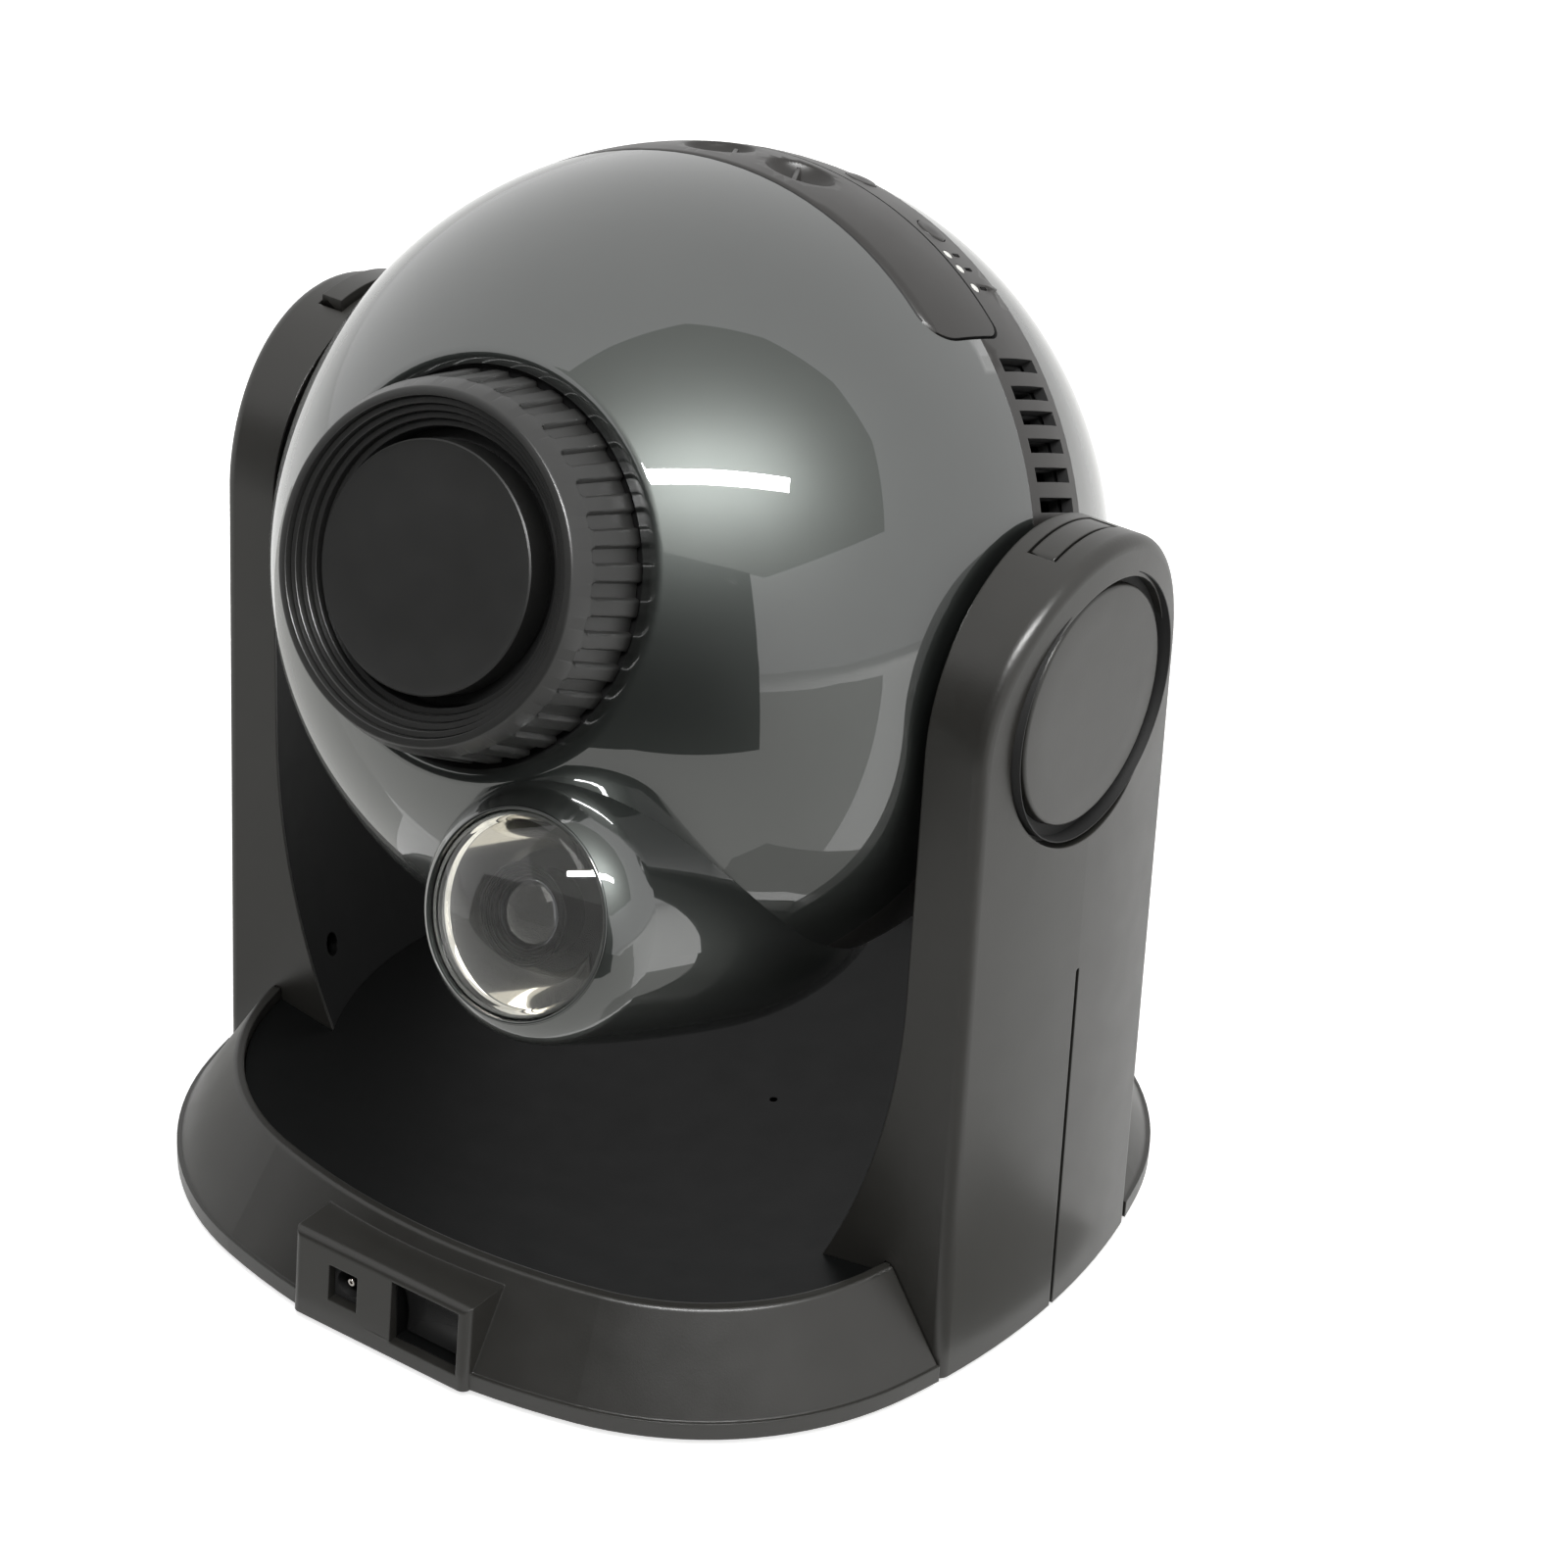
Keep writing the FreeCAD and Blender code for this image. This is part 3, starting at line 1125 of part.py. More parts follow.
doc.recompute()
for item in doc.Objects:
    if "Invalid" in item.State or "Error" in item.State:
        raise RuntimeError("%s (%s) failed: %s" % (item.Name, item.Label, item.State))
for item in PIECES:
    if item.Shape.isNull() or not item.Shape.isValid():
        raise RuntimeError("%s has no valid shape" % item.Label)
os.makedirs("parts", exist_ok=True)
for item in PIECES:
    item.Shape.exportStep("parts/%s.step" % item.Label)
print(len(PIECES), "pieces written")
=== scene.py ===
# %% [markdown]
# # A home planetarium projector
# A glossy ball carries the optics and tilts between two arms that stand on a dished base.
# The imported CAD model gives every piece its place, and each cell below gives one piece or finish its looks.

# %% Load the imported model
import json
import math
import bmesh
import bpy
from mathutils import Euler, Matrix, Vector


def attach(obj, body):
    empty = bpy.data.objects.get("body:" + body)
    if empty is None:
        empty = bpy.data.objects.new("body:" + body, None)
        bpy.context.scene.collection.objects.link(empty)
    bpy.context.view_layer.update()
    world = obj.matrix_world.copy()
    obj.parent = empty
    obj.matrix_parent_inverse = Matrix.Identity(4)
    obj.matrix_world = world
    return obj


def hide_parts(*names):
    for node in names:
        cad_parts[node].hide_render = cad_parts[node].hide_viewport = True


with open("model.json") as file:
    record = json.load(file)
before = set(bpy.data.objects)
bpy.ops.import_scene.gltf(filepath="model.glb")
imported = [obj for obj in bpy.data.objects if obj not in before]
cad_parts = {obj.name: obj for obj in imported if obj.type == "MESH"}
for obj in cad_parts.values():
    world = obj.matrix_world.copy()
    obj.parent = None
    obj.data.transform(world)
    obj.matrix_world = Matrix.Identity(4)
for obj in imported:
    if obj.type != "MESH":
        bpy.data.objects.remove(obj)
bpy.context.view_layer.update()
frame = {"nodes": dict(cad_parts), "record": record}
nodes = frame["nodes"]
bpy.context.scene.view_settings.view_transform = "Standard"

# %% [markdown]
# The frame is in metres. Sizes are easier to read in millimetres, so one constant turns them round.
# The head has axes of its own: X along the yoke axis, Y up across the lens, Z forwards along the lens.
# A single matrix takes a mesh from those axes to the frame, which is why every head piece can be
# modelled straight along Z. The pod has the same axes with its own middle.

# %% Units and the head's own axes
MM = 0.001
PIVOT = Vector((0, 0, 147.0)) * MM
LENS_ELEVATION = math.radians(21.0)
HEAD = Matrix.Translation(PIVOT) @ Matrix.Rotation(math.radians(90) - LENS_ELEVATION, 4, "X")
POD = HEAD @ Matrix.Translation(Vector((32.0, -60.6, 0.0)) * MM)
BALL = 88.0
print("lens points along", [round(v, 3) for v in HEAD.to_3x3() @ Vector((0, 0, 1))])

# %% [markdown]
# ## Camera
# The camera stands far off with a long lens, so that the ball stays round. Its axes are given as three turns,
# and its place as a distance back from the ball's centre with a small shift.

# %% Camera
LENS_MM, SENSOR_MM = 100.01, 36.0
AZIMUTH, ELEVATION, ROLL = 33.667, 30.1065, 3.0257
DISTANCE, SHIFT_RIGHT, SHIFT_UP = 916.35 * MM, 19.714 * MM, -46.584 * MM
AIM = Vector((0, 0, 147.1)) * MM


def make_camera():
    turn = Euler((math.radians(90 - ELEVATION), 0, math.radians(AZIMUTH)), "XYZ").to_matrix()
    turn = turn @ Matrix.Rotation(math.radians(ROLL), 3, "Z")
    data = bpy.data.cameras.new("camera")
    data.lens = LENS_MM
    data.sensor_width = SENSOR_MM
    data.sensor_fit = "HORIZONTAL"
    data.clip_start = 0.01
    camera = bpy.data.objects.new("camera", data)
    offset = turn @ Vector((SHIFT_RIGHT, SHIFT_UP, DISTANCE))
    camera.matrix_world = Matrix.Translation(AIM + offset) @ turn.to_4x4()
    bpy.context.scene.collection.objects.link(camera)
    bpy.context.scene.camera = camera
    return camera


camera = make_camera()
print("camera at", [round(v, 4) for v in camera.matrix_world.translation])

# %% [markdown]
# ## Finishes
# Every finish is a Principled shader with its own pattern in the colour, the roughness or the bump.
# Colours are written as sRGB hex and turned to linear by one function, and one small function adds a node.

# %% Colour and node helpers
EDGE_SAMPLES = 6


def linear(hexadecimal):
    """An sRGB hex colour as linear RGBA."""
    parts = [int(hexadecimal[i:i + 2], 16) / 255 for i in (1, 3, 5)]
    return [p / 12.92 if p <= 0.04045 else ((p + 0.055) / 1.055) ** 2.4 for p in parts] + [1.0]


def add(tree, kind, inputs=None, **settings):
    """Add one shader node: settings are its options, inputs its sockets' values or links."""
    node = tree.nodes.new("ShaderNode" + kind)
    for name, value in settings.items():
        setattr(node, name, value)
    for name, value in (inputs or {}).items():
        socket = node.inputs[name]
        if isinstance(value, bpy.types.NodeSocket):
            tree.links.new(value, socket)
        else:
            socket.default_value = value
    return node


def finish(name):
    """A new material with an empty tree, its shader and its output."""
    material = bpy.data.materials.new(name)
    material.use_nodes = True
    tree = material.node_tree
    tree.nodes.clear()
    shader = add(tree, "BsdfPrincipled")
    add(tree, "OutputMaterial", {"Surface": shader.outputs["BSDF"]})
    return material, tree, shader


def per_mm(size_mm):
    """The texture scale that makes one feature of a pattern this many millimetres wide."""
    return 1.0 / (size_mm * MM)


def spark_texture(tree, shader, grain_mm, height_mm, edge_mm=0.0):
    """The matte grain that spark erosion leaves in a mould, over edges that come out a little round."""
    place = add(tree, "TexCoord").outputs["Object"]
    grain = add(tree, "TexNoise", {"Vector": place, "Scale": per_mm(grain_mm), "Detail": 3.0,
                                   "Roughness": 0.6})
    bump = add(tree, "Bump", {"Height": grain.outputs["Fac"], "Distance": height_mm * MM, "Strength": 1.0})
    if edge_mm:
        edge = add(tree, "Bevel", {"Radius": edge_mm * MM}, samples=EDGE_SAMPLES)
        tree.links.new(edge.outputs["Normal"], bump.inputs["Normal"])
    tree.links.new(bump.outputs["Normal"], shader.inputs["Normal"])
    return place


def tinted(tree, shader, place, light, dark, patch_mm):
    """Two close shades in slow patches, as handled plastic has."""
    cloud = add(tree, "TexNoise", {"Vector": place, "Scale": per_mm(patch_mm), "Detail": 4.0,
                                   "Roughness": 0.55})
    mix = add(tree, "ValToRGB", {"Fac": cloud.outputs["Fac"]})
    mix.color_ramp.elements[0].position = 0.35
    mix.color_ramp.elements[0].color = linear(dark)
    mix.color_ramp.elements[1].position = 0.65
    mix.color_ramp.elements[1].color = linear(light)
    tree.links.new(mix.outputs["Color"], shader.inputs["Base Color"])


# %% [markdown]
# ### Grey ABS of the base and the arms
# ABS moulded in a spark eroded mould: a warm dark grey that scatters light softly and has a faint sheen.
# The edges of a moulding are never quite sharp, and the small round catches a thin line of light.

# %% Moulded plastics
PLASTIC_IOR = 1.53
WEAR_MM, WEAR_SPREAD = 9.0, 0.05


def moulded_plastic(name, light, dark, rough, grain_mm=0.45, height_mm=0.015, patch_mm=35.0, edge_mm=0.45):
    material, tree, shader = finish(name)
    place = spark_texture(tree, shader, grain_mm, height_mm, edge_mm)
    tinted(tree, shader, place, light, dark, patch_mm)
    wear = add(tree, "TexNoise", {"Vector": place, "Scale": per_mm(WEAR_MM), "Detail": 5.0})
    spread = add(tree, "MapRange", {"Value": wear.outputs["Fac"], "To Min": rough - WEAR_SPREAD,
                                    "To Max": rough + WEAR_SPREAD})
    tree.links.new(spread.outputs["Result"], shader.inputs["Roughness"])
    shader.inputs["IOR"].default_value = PLASTIC_IOR
    return material


grey_abs = moulded_plastic("grey_textured_ABS", "#302f2c", "#2c2b28", 0.35)
black_abs = moulded_plastic("black_matte_ABS", "#0c0d0d", "#090a0a", 0.5, edge_mm=0.3)
black_abs.node_tree.nodes["Principled BSDF"].inputs["Specular IOR Level"].default_value = 0.14
# Black of the inner parts, also used as painted shade in the pivot gaps, the ring's bore, slot walls and
# screw crosses.
black_abs_and_painted_shade = moulded_plastic("black_ABS_and_painted_shade", "#0b0b0b", "#080808", 0.7, edge_mm=0.0)
band_abs = moulded_plastic("satin_grey_ABS", "#2b2927", "#272523", 0.38, 0.3, 0.008, edge_mm=0.3)
ring_abs = moulded_plastic("charcoal_satin_ABS", "#333332", "#2f2f2e", 0.34, 0.3, 0.006, edge_mm=0.0)
cap_abs = moulded_plastic("black_satin_ABS", "#212120", "#1d1d1c", 0.44, 0.3, 0.006, edge_mm=0.0)
rocker_abs = moulded_plastic("polished_black_ABS", "#2e2e2e", "#2a2a2a", 0.22, 0.3, 0.001, edge_mm=0.4)
diffuser = moulded_plastic("milky_light_pipe", "#f0efea", "#e9e8e2", 0.3, 0.3, 0.002, edge_mm=0.0)
ink = moulded_plastic("black_pad_print", "#0d0d0d", "#0a0a0a", 0.6, 0.3, 0.002, edge_mm=0.0)
print("plastics:", [m.name for m in bpy.data.materials])

# %% [markdown]
# ### Lacquered ball
# The ball is ABS sprayed with a gunmetal lacquer: fine aluminium flakes under a clear coat.
# The flakes lie at slightly different angles, so they spread a lamp into a wide glow, while the clear coat
# stays smooth and mirrors the room. Real flakes are some hundredths of a millimetre across, too fine to
# show, so they are drawn ten times coarser.

# %% Metallic lacquer
FLAKE_MM, FLAKE_HEIGHT_MM, LACQUER_PATCH_MM = 0.35, 0.012, 50.0


def metallic_lacquer():
    material, tree, shader = finish("gunmetal_metallic_lacquer")
    place = add(tree, "TexCoord").outputs["Object"]
    flake = add(tree, "TexVoronoi", {"Vector": place, "Scale": per_mm(FLAKE_MM)})
    bump = add(tree, "Bump", {"Height": flake.outputs["Distance"], "Distance": FLAKE_HEIGHT_MM * MM,
                              "Strength": 0.5})
    tree.links.new(bump.outputs["Normal"], shader.inputs["Normal"])
    tinted(tree, shader, place, "#484b49", "#444745", LACQUER_PATCH_MM)
    shader.inputs["Metallic"].default_value = 1.0
    shader.inputs["Roughness"].default_value = 0.42
    shader.inputs["Coat Weight"].default_value = 1.0
    shader.inputs["Coat Roughness"].default_value = 0.015
    shader.inputs["Coat IOR"].default_value = 2.0
    return material


lacquer = metallic_lacquer()

# %% [markdown]
# ### Clear and bright parts
# The dome of the pod is injected acrylic, the lenses are ground glass, and the bowl round the small lens is
# vacuum metallised. The screws, clips and the socket's pin are plated steel, and the heat sink is extruded.

# %% Clear, plated and other finishes
RIPPLE_MM, RIPPLE_HEIGHT_MM = 12.0, 0.02
METAL_GRAIN_MM, METAL_PATCH_MM = 0.6, 6.0


def clear_part(name, tint, ior):
    material, tree, shader = finish(name)
    place = add(tree, "TexCoord").outputs["Object"]
    ripple = add(tree, "TexNoise", {"Vector": place, "Scale": per_mm(RIPPLE_MM), "Detail": 1.0})
    bump = add(tree, "Bump", {"Height": ripple.outputs["Fac"], "Distance": RIPPLE_HEIGHT_MM * MM,
                              "Strength": 0.2})
    tree.links.new(bump.outputs["Normal"], shader.inputs["Normal"])
    shader.inputs["Base Color"].default_value = linear(tint)
    shader.inputs["Roughness"].default_value = 0.0
    shader.inputs["Transmission Weight"].default_value = 1.0
    shader.inputs["IOR"].default_value = ior
    return material


def bright_metal(name, light, dark, rough, height_mm=0.00005):
    material, tree, shader = finish(name)
    place = spark_texture(tree, shader, METAL_GRAIN_MM, height_mm)
    tinted(tree, shader, place, light, dark, METAL_PATCH_MM)
    shader.inputs["Metallic"].default_value = 1.0
    shader.inputs["Roughness"].default_value = rough
    return material


acrylic = clear_part("clear_acrylic", "#fbfbf8", 1.49)
optical_glass = clear_part("coated_optical_glass", "#f4f6ff", 1.52)
metallised = bright_metal("vacuum_metallised_bowl", "#e4e1da", "#dedbd4", 0.06, 0.0)
plated = bright_metal("bright_nickel_plate", "#cfcac6", "#c4bfbb", 0.08)
steel = bright_metal("zinc_plated_steel", "#b9b9b6", "#a8a8a5", 0.28, 0.001)
alloy = bright_metal("extruded_aluminium", "#b2b4b6", "#a6a8aa", 0.35, 0.001)
acetal = moulded_plastic("natural_acetal", "#cfc9bb", "#c8c2b4", 0.4)
rubber = moulded_plastic("black_rubber", "#1b1b1b", "#171717", 0.8, 0.8, 0.03)
laminate = moulded_plastic("green_circuit_laminate", "#1f4a2c", "#1a4227", 0.3, 1.2, 0.004, edge_mm=0.0)
film = moulded_plastic("dark_star_film", "#0e0e12", "#0b0b0f", 0.12, 0.6, 0.001, edge_mm=0.0)

FINISHES = {
    "grey_plastic": grey_abs, "black_plastic": black_abs, "rocker_plastic": rocker_abs, "ball_paint": lacquer,
    "band_plastic": band_abs, "rubber": rubber, "steel": steel, "acetal": acetal, "glass": optical_glass,
    "clear_plastic": acrylic, "mirror_ring": plated, "circuit_board": laminate, "aluminium": alloy,
    "film": film,
}
for part in frame["record"]["subparts"]:
    data = nodes[part["node"]].data
    data.materials.clear()
    data.materials.append(FINISHES[part["material_slot"]])
# Inner parts take the darkest black, which also paints the shade deep inside the head and the socket.
for name in ("lens_mount", "retaining_ring", "lens_barrel", "disc_chassis", "disc_tray", "condenser_holder",
             "dc_jack"):
    nodes[name].data.materials[0] = black_abs_and_painted_shade
print("dressed", len(nodes), "CAD nodes")

# %% [markdown]
# ## Making a piece
# Most of the pieces below are turned: an outline of (radius, height) corners is spun about Z, and its
# sharp edges are then rounded. Merging doubles closes the poles and the seam, and the normals are
# worked out again because a spin can leave them facing inwards.

# %% Spinning, rounding and finishing a piece
MERGE_M, ON_AXIS_M = 1e-6, 1e-7


def spun(corners, steps=128):
    """A bmesh turned about Z from an outline of (radius, height) corners in millimetres."""
    form = bmesh.new()
    verts = [form.verts.new(Vector((r, 0, z)) * MM) for r, z in corners]
    edges = [form.edges.new(pair) for pair in zip(verts, verts[1:] + verts[:1])]
    edges = [e for e in edges if any(v.co.x > ON_AXIS_M for v in e.verts)]
    bmesh.ops.spin(form, geom=verts + edges, cent=(0, 0, 0), axis=(0, 0, 1), angle=math.tau, steps=steps,
                   use_merge=True)
    return closed(form)


def closed(form):
    """Merge the seam and the poles, drop edges on the axis that bound no face, and turn all faces out."""
    bmesh.ops.remove_doubles(form, verts=form.verts, dist=MERGE_M)
    loose = [e for e in form.edges if not e.link_faces]
    bmesh.ops.delete(form, geom=loose, context="EDGES")
    bmesh.ops.recalc_face_normals(form, faces=form.faces)
    return form


def soften(form, round_mm, segments=2, sharper_than=25):
    """Round every edge that turns by more than an angle."""
    limit = math.radians(sharper_than)
    edges = [e for e in form.edges if e.is_manifold and e.calc_face_angle() > limit]
    bmesh.ops.bevel(form, geom=edges, offset=round_mm * MM, offset_type="OFFSET", segments=segments,
                    profile=0.5, affect="EDGES", material=-1, clamp_overlap=True)
    return form


def make_piece(name, form, materials, body, node=None, place=HEAD, flat_above=40):
    """Give a bmesh its place in the frame, smooth faces, finishes and the body that it rides on."""
    form.transform(place)
    for face in form.faces:
        face.smooth = True
    mesh = bpy.data.meshes.new(name)
    form.to_mesh(mesh)
    form.free()
    mesh.set_sharp_from_angle(angle=math.radians(flat_above))
    for material in materials:
        mesh.materials.append(material)
    piece = bpy.data.objects.new(name, mesh)
    bpy.context.scene.collection.objects.link(piece)
    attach(piece, body)
    if node:
        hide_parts(node)
    print(name, "has", len(mesh.polygons), "faces")
    return piece


def node_copy(name):
    """A CAD node's own mesh in the frame, with its doubles merged, to be worked further."""
    form = bmesh.new()
    form.from_mesh(nodes[name].data)
    form.transform(nodes[name].matrix_world)
    bmesh.ops.remove_doubles(form, verts=form.verts, dist=MERGE_M)
    return form


def merge(target, form):
    """Add a finished form to another bmesh and free it."""
    part = bpy.data.meshes.new("part")
    form.to_mesh(part)
    form.free()
    target.from_mesh(part)
    bpy.data.meshes.remove(part)


def arc(centre, radius, start, end, steps):
    """Corners along an arc in an outline, angles in degrees from the X axis."""
    turns = [math.radians(start + (end - start) * i / steps) for i in range(steps + 1)]
    return [(centre[0] + radius * math.cos(a), centre[1] + radius * math.sin(a)) for a in turns]


# %% [markdown]
# ## Lens cap
# A push-on cap of black satin ABS that keeps dust off the projection lens. It is a shallow turned cup with a
# slightly crowned face and a chamfered rim. Its face is left bare.

# %% Lens cap
def lens_cap():
    face, rim, bore, skirt, wall = 95.0, 24.8, 23.56, 87.9, 1.8
    crown_radius, crown_reach, crown_top = 1229.0, 23.0, 94.75
    crown_end = 90.0 - math.degrees(crown_reach / crown_radius)
    crown = arc((0, crown_top - crown_radius), crown_radius, 90.0, crown_end, 3)
    outline = crown + [(rim - 0.3, face - 0.3), (rim, face - 0.6), (rim, skirt), (bore, skirt),
                       (bore, face - wall), (0, face - wall)]
    return spun(outline, 160)


make_piece("bare_lens_cap", lens_cap(), [cap_abs], "cap", "lens_cap")

# %% [markdown]
# ## Shooting star optics
# Behind a clear acrylic dome lies a bright bowl, and in its middle a small lens in a stepped black mount.
# The bowl is a turned shell with a parabolic inside, which throws the picture of the lens outwards.
# The dome is a turned shell of even thickness, because a lens of solid acrylic would bend the view too much.

# %% Dome, bezel and bowl
DOME_RIM, DOME_FOOT, DOME_RISE, DOME_WALL = 20.3, 82.2, 7.0, 1.4
DOME_BORE, DOME_SEAT = 19.1, 81.25


def dome():
    curve = (DOME_RIM ** 2 + DOME_RISE ** 2) / (2 * DOME_RISE)
    middle = DOME_FOOT + DOME_RISE - curve
    lean = math.degrees(math.asin((DOME_FOOT - middle) / curve))
    inner = curve - DOME_WALL
    inner_lean = math.degrees(math.asin((DOME_FOOT - middle) / inner))
    outline = arc((0, middle), curve, 90, lean, 24) + [(DOME_RIM, DOME_SEAT), (DOME_BORE, DOME_SEAT)]
    outline += arc((0, middle), inner, inner_lean, 90, 24)
    return spun(outline, 128)


def bezel():
    bore, rim, rear, seat = 19.05, 21.35, 79.5, 81.2
    outline = [(bore, rear), (rim, rear), (rim, 82.9)] + arc((21.0, 83.0), 0.35, 0, 90, 4)
    outline += [(20.7, 83.2), (20.5, 82.6), (20.45, seat), (bore, seat)]
    return spun(outline, 128)


def bowl():
    throat, flare, rear, depth, curl, steps = 11.4, 7.4, 70.0, 9.4, 0.62, 10
    flange, wall = 20.6, 0.9
    inner = [(throat + flare * (t / steps) ** curl, rear + depth * t / steps) for t in range(steps + 1)]
    outer = [(flange, 79.4), (flange, 78.5), (19.0, 78.4)]
    return spun(inner + outer + [(r + wall, z - 0.2) for r, z in reversed(inner[:-2])], 128)


make_piece("clear_dome", dome(), [acrylic], "head", "meteor_window", POD)
FACES_FORWARD = 0.2
bezel_piece = make_piece("dome_bezel", bezel(), [black_abs, lacquer], "head", "meteor_bezel", POD)
# Forward faces take the lacquer; the rest stay black as painted shade of the gap round the dome.
for face in bezel_piece.data.polygons:
    outward = HEAD.inverted().to_3x3() @ face.normal
    face.material_index = 1 if outward.z > FACES_FORWARD else 0
make_piece("metallised_bowl", bowl(), [metallised], "head", "meteor_reflector", POD, flat_above=70)

# %% [markdown]
# The little lens sits in a mount whose front is turned into fine steps, which stop stray light. The steps are
# drawn as a saw-tooth outline. The lens itself is a thick plano-convex glass close behind the dome.

# %% Small lens and its stepped mount
MOUNT_FRONT, MOUNT_STEPS = 80.4, 4
STEP_INWARDS, STEP_DOWN = 0.72, 0.5


def stepped_mount():
    flange, lip, heel, seat, bore = 19.8, 10.2, 60.0, 62.0, 6.6
    outline = [(10.0, 54.0), (12.0, 54.0), (12.0, heel), (flange, heel), (flange, seat), (12.2, seat),
               (12.0, 70.6), (8.4, 71.4), (8.2, MOUNT_FRONT - 1.6), (lip, MOUNT_FRONT)]
    for i in range(MOUNT_STEPS):
        radius, level = 9.8 - STEP_INWARDS * i, MOUNT_FRONT - STEP_DOWN * i
        outline += [(radius, level), (radius - 0.2, level - 0.9), (radius - STEP_INWARDS, level - STEP_DOWN)]
    return spun(outline + [(bore, 77.6), (bore, seat), (10.0, seat)], 96)


def small_lens():
    curve, rim, rear, proud = 10.0, 6.5, 70.0, 0.6
    lean = math.degrees(math.acos(rim / curve))
    crown = arc((0, MOUNT_FRONT + proud - curve), curve, 90, lean, 14)
    return spun(crown + [(rim, rear), (0, rear)], 96)


make_piece("stepped_lens_mount", stepped_mount(), [black_abs], "head", "meteor_barrel", POD)
make_piece("small_lens", small_lens(), [optical_glass], "head", "meteor_lens", POD)

# %% [markdown]
# ## Focus ring
# The grip is an injection moulding with 35 hollows between its ribs. Its mesh is a lathe outline carried
# round in fine steps, and each point of the grip sinks by how deep it lies in a hollow, so that every wall
# keeps the small round that a mould needs. The front steps down to the lens in four lands with a fine groove
# each, and the bore behind them is painted black as the shade deep inside the ring.

# %% Focus ring
RIBS, STEPS_PER_RIB = 35, 20
RING_REAR, RING_FACE, RING_BEVEL = 77.4, 95.4, 91.4
RING_RADIUS, RING_FRONT, RING_NOSE = 38.6, 36.6, 34.6
RING_BORE, RING_HUB, RING_FLOOR, RING_PAINTED_SHADE_INSIDE = 26.06, 36.0, 83.9, 27.6
HOLLOW_HALF, HOLLOW_DEPTH, HOLLOW_WALL, HOLLOW_END = 1.6, 1.0, 0.55, 0.2
GRIP_LENGTH = 14.0
GRIP_ROWS = (0, 0.3, 2, 4, 6, 8, 10, 11.2, 11.8, 12.2, 12.6, 12.9, 13.2, 13.5, GRIP_LENGTH)
LANDS, LAND_DOWN, LAND_INWARDS, LAND_ROUND = 4, 1.4, 1.44, 0.12
GROOVE_DEPTH, GROOVE_WIDTH = 0.45, 0.34


def hollow_depth(across, along):
    """How far the grip sinks at a place: across from a hollow's middle, along the lens axis."""
    tip = RING_BEVEL - HOLLOW_END - HOLLOW_HALF
    reach = abs(across) if along < tip else math.hypot(across, along - tip)
    share = min(max(0.5 - (reach - HOLLOW_HALF) / HOLLOW_WALL, 0.0), 1.0)
    return HOLLOW_DEPTH * share * share * (3 - 2 * share)


def ring_outline():
    """The ring's corners from the rear of the hub outwards and over the face, as (radius, height)."""
    corners = [(RING_BORE, RING_REAR), (RING_HUB, RING_REAR)]
    for along in GRIP_ROWS:
        corners.append((RING_RADIUS - (RING_RADIUS - RING_FRONT) * along / GRIP_LENGTH, RING_REAR + along))
    corners += [(RING_NOSE + 0.3, RING_FACE - 0.45), (RING_NOSE + 0.1, RING_FACE - 0.12),
                (RING_NOSE - 0.2, RING_FACE)]
    edge, floor = RING_NOSE - 1.6, RING_FACE
    corners += [(edge + LAND_ROUND, floor), (edge, floor - LAND_ROUND)]
    for _ in range(LANDS):
        floor -= LAND_DOWN
        corners += [(edge, floor - GROOVE_DEPTH), (edge - GROOVE_WIDTH, floor - GROOVE_DEPTH),
                    (edge - GROOVE_WIDTH, floor)]
        edge -= LAND_INWARDS
        corners += [(edge + LAND_ROUND, floor), (edge, floor - LAND_ROUND)]
    return corners + [(edge, RING_FLOOR), (RING_BORE, RING_FLOOR)]


def focus_ring():
    form = bmesh.new()
    corners = ring_outline()
    around = RIBS * STEPS_PER_RIB
    rows = []
    for radius, height in corners:
        row = []
        for i in range(around):
            turn = math.tau * i / around
            from_hollow = (i + STEPS_PER_RIB / 2) % STEPS_PER_RIB - STEPS_PER_RIB / 2
            across = from_hollow * math.tau * radius / around
            sunk = radius
            if RING_FRONT <= radius and height <= RING_BEVEL:
                sunk -= hollow_depth(across, height)
            row.append(form.verts.new(Vector((sunk * math.cos(turn), sunk * math.sin(turn), height)) * MM))
        rows.append(row)
    for row, following in zip(rows, rows[1:] + rows[:1]):
        for i in range(around):
            j = (i + 1) % around
            form.faces.new((row[i], row[j], following[j], following[i]))
    bmesh.ops.recalc_face_normals(form, faces=form.faces)
    # Faces of the deep bore take the black finish as painted shade.
    for face in form.faces:
        middle = face.calc_center_median()
        face.material_index = 1 if math.hypot(middle.x, middle.y) < RING_PAINTED_SHADE_INSIDE * MM else 0
    return form


make_piece("ribbed_focus_ring", focus_ring(), [ring_abs, black_abs_and_painted_shade], "focus", "focus_ring")

# %% [markdown]
# ## Pivot caps and arm plugs
# A round snap-in cap hides each hub. It sits in a deep recess with a clear gap, and a black ring in that gap
# is painted shade of the recess. The blanking plug on an arm's top is a little smaller than its pocket, which
# leaves a dark line.

# %% Pivot caps, painted shade rings and plugs
ARM_LEAN = 0.7
PLUG_GAP = 0.9
HUB_FLOOR = 96.4


def axle(side):
    """Takes a piece turned about Z to the yoke axis, square to an arm's leaning face."""
    return Matrix.Translation(PIVOT) @ Matrix.Rotation(math.radians(side * (90 - ARM_LEAN)), 4, "Y")


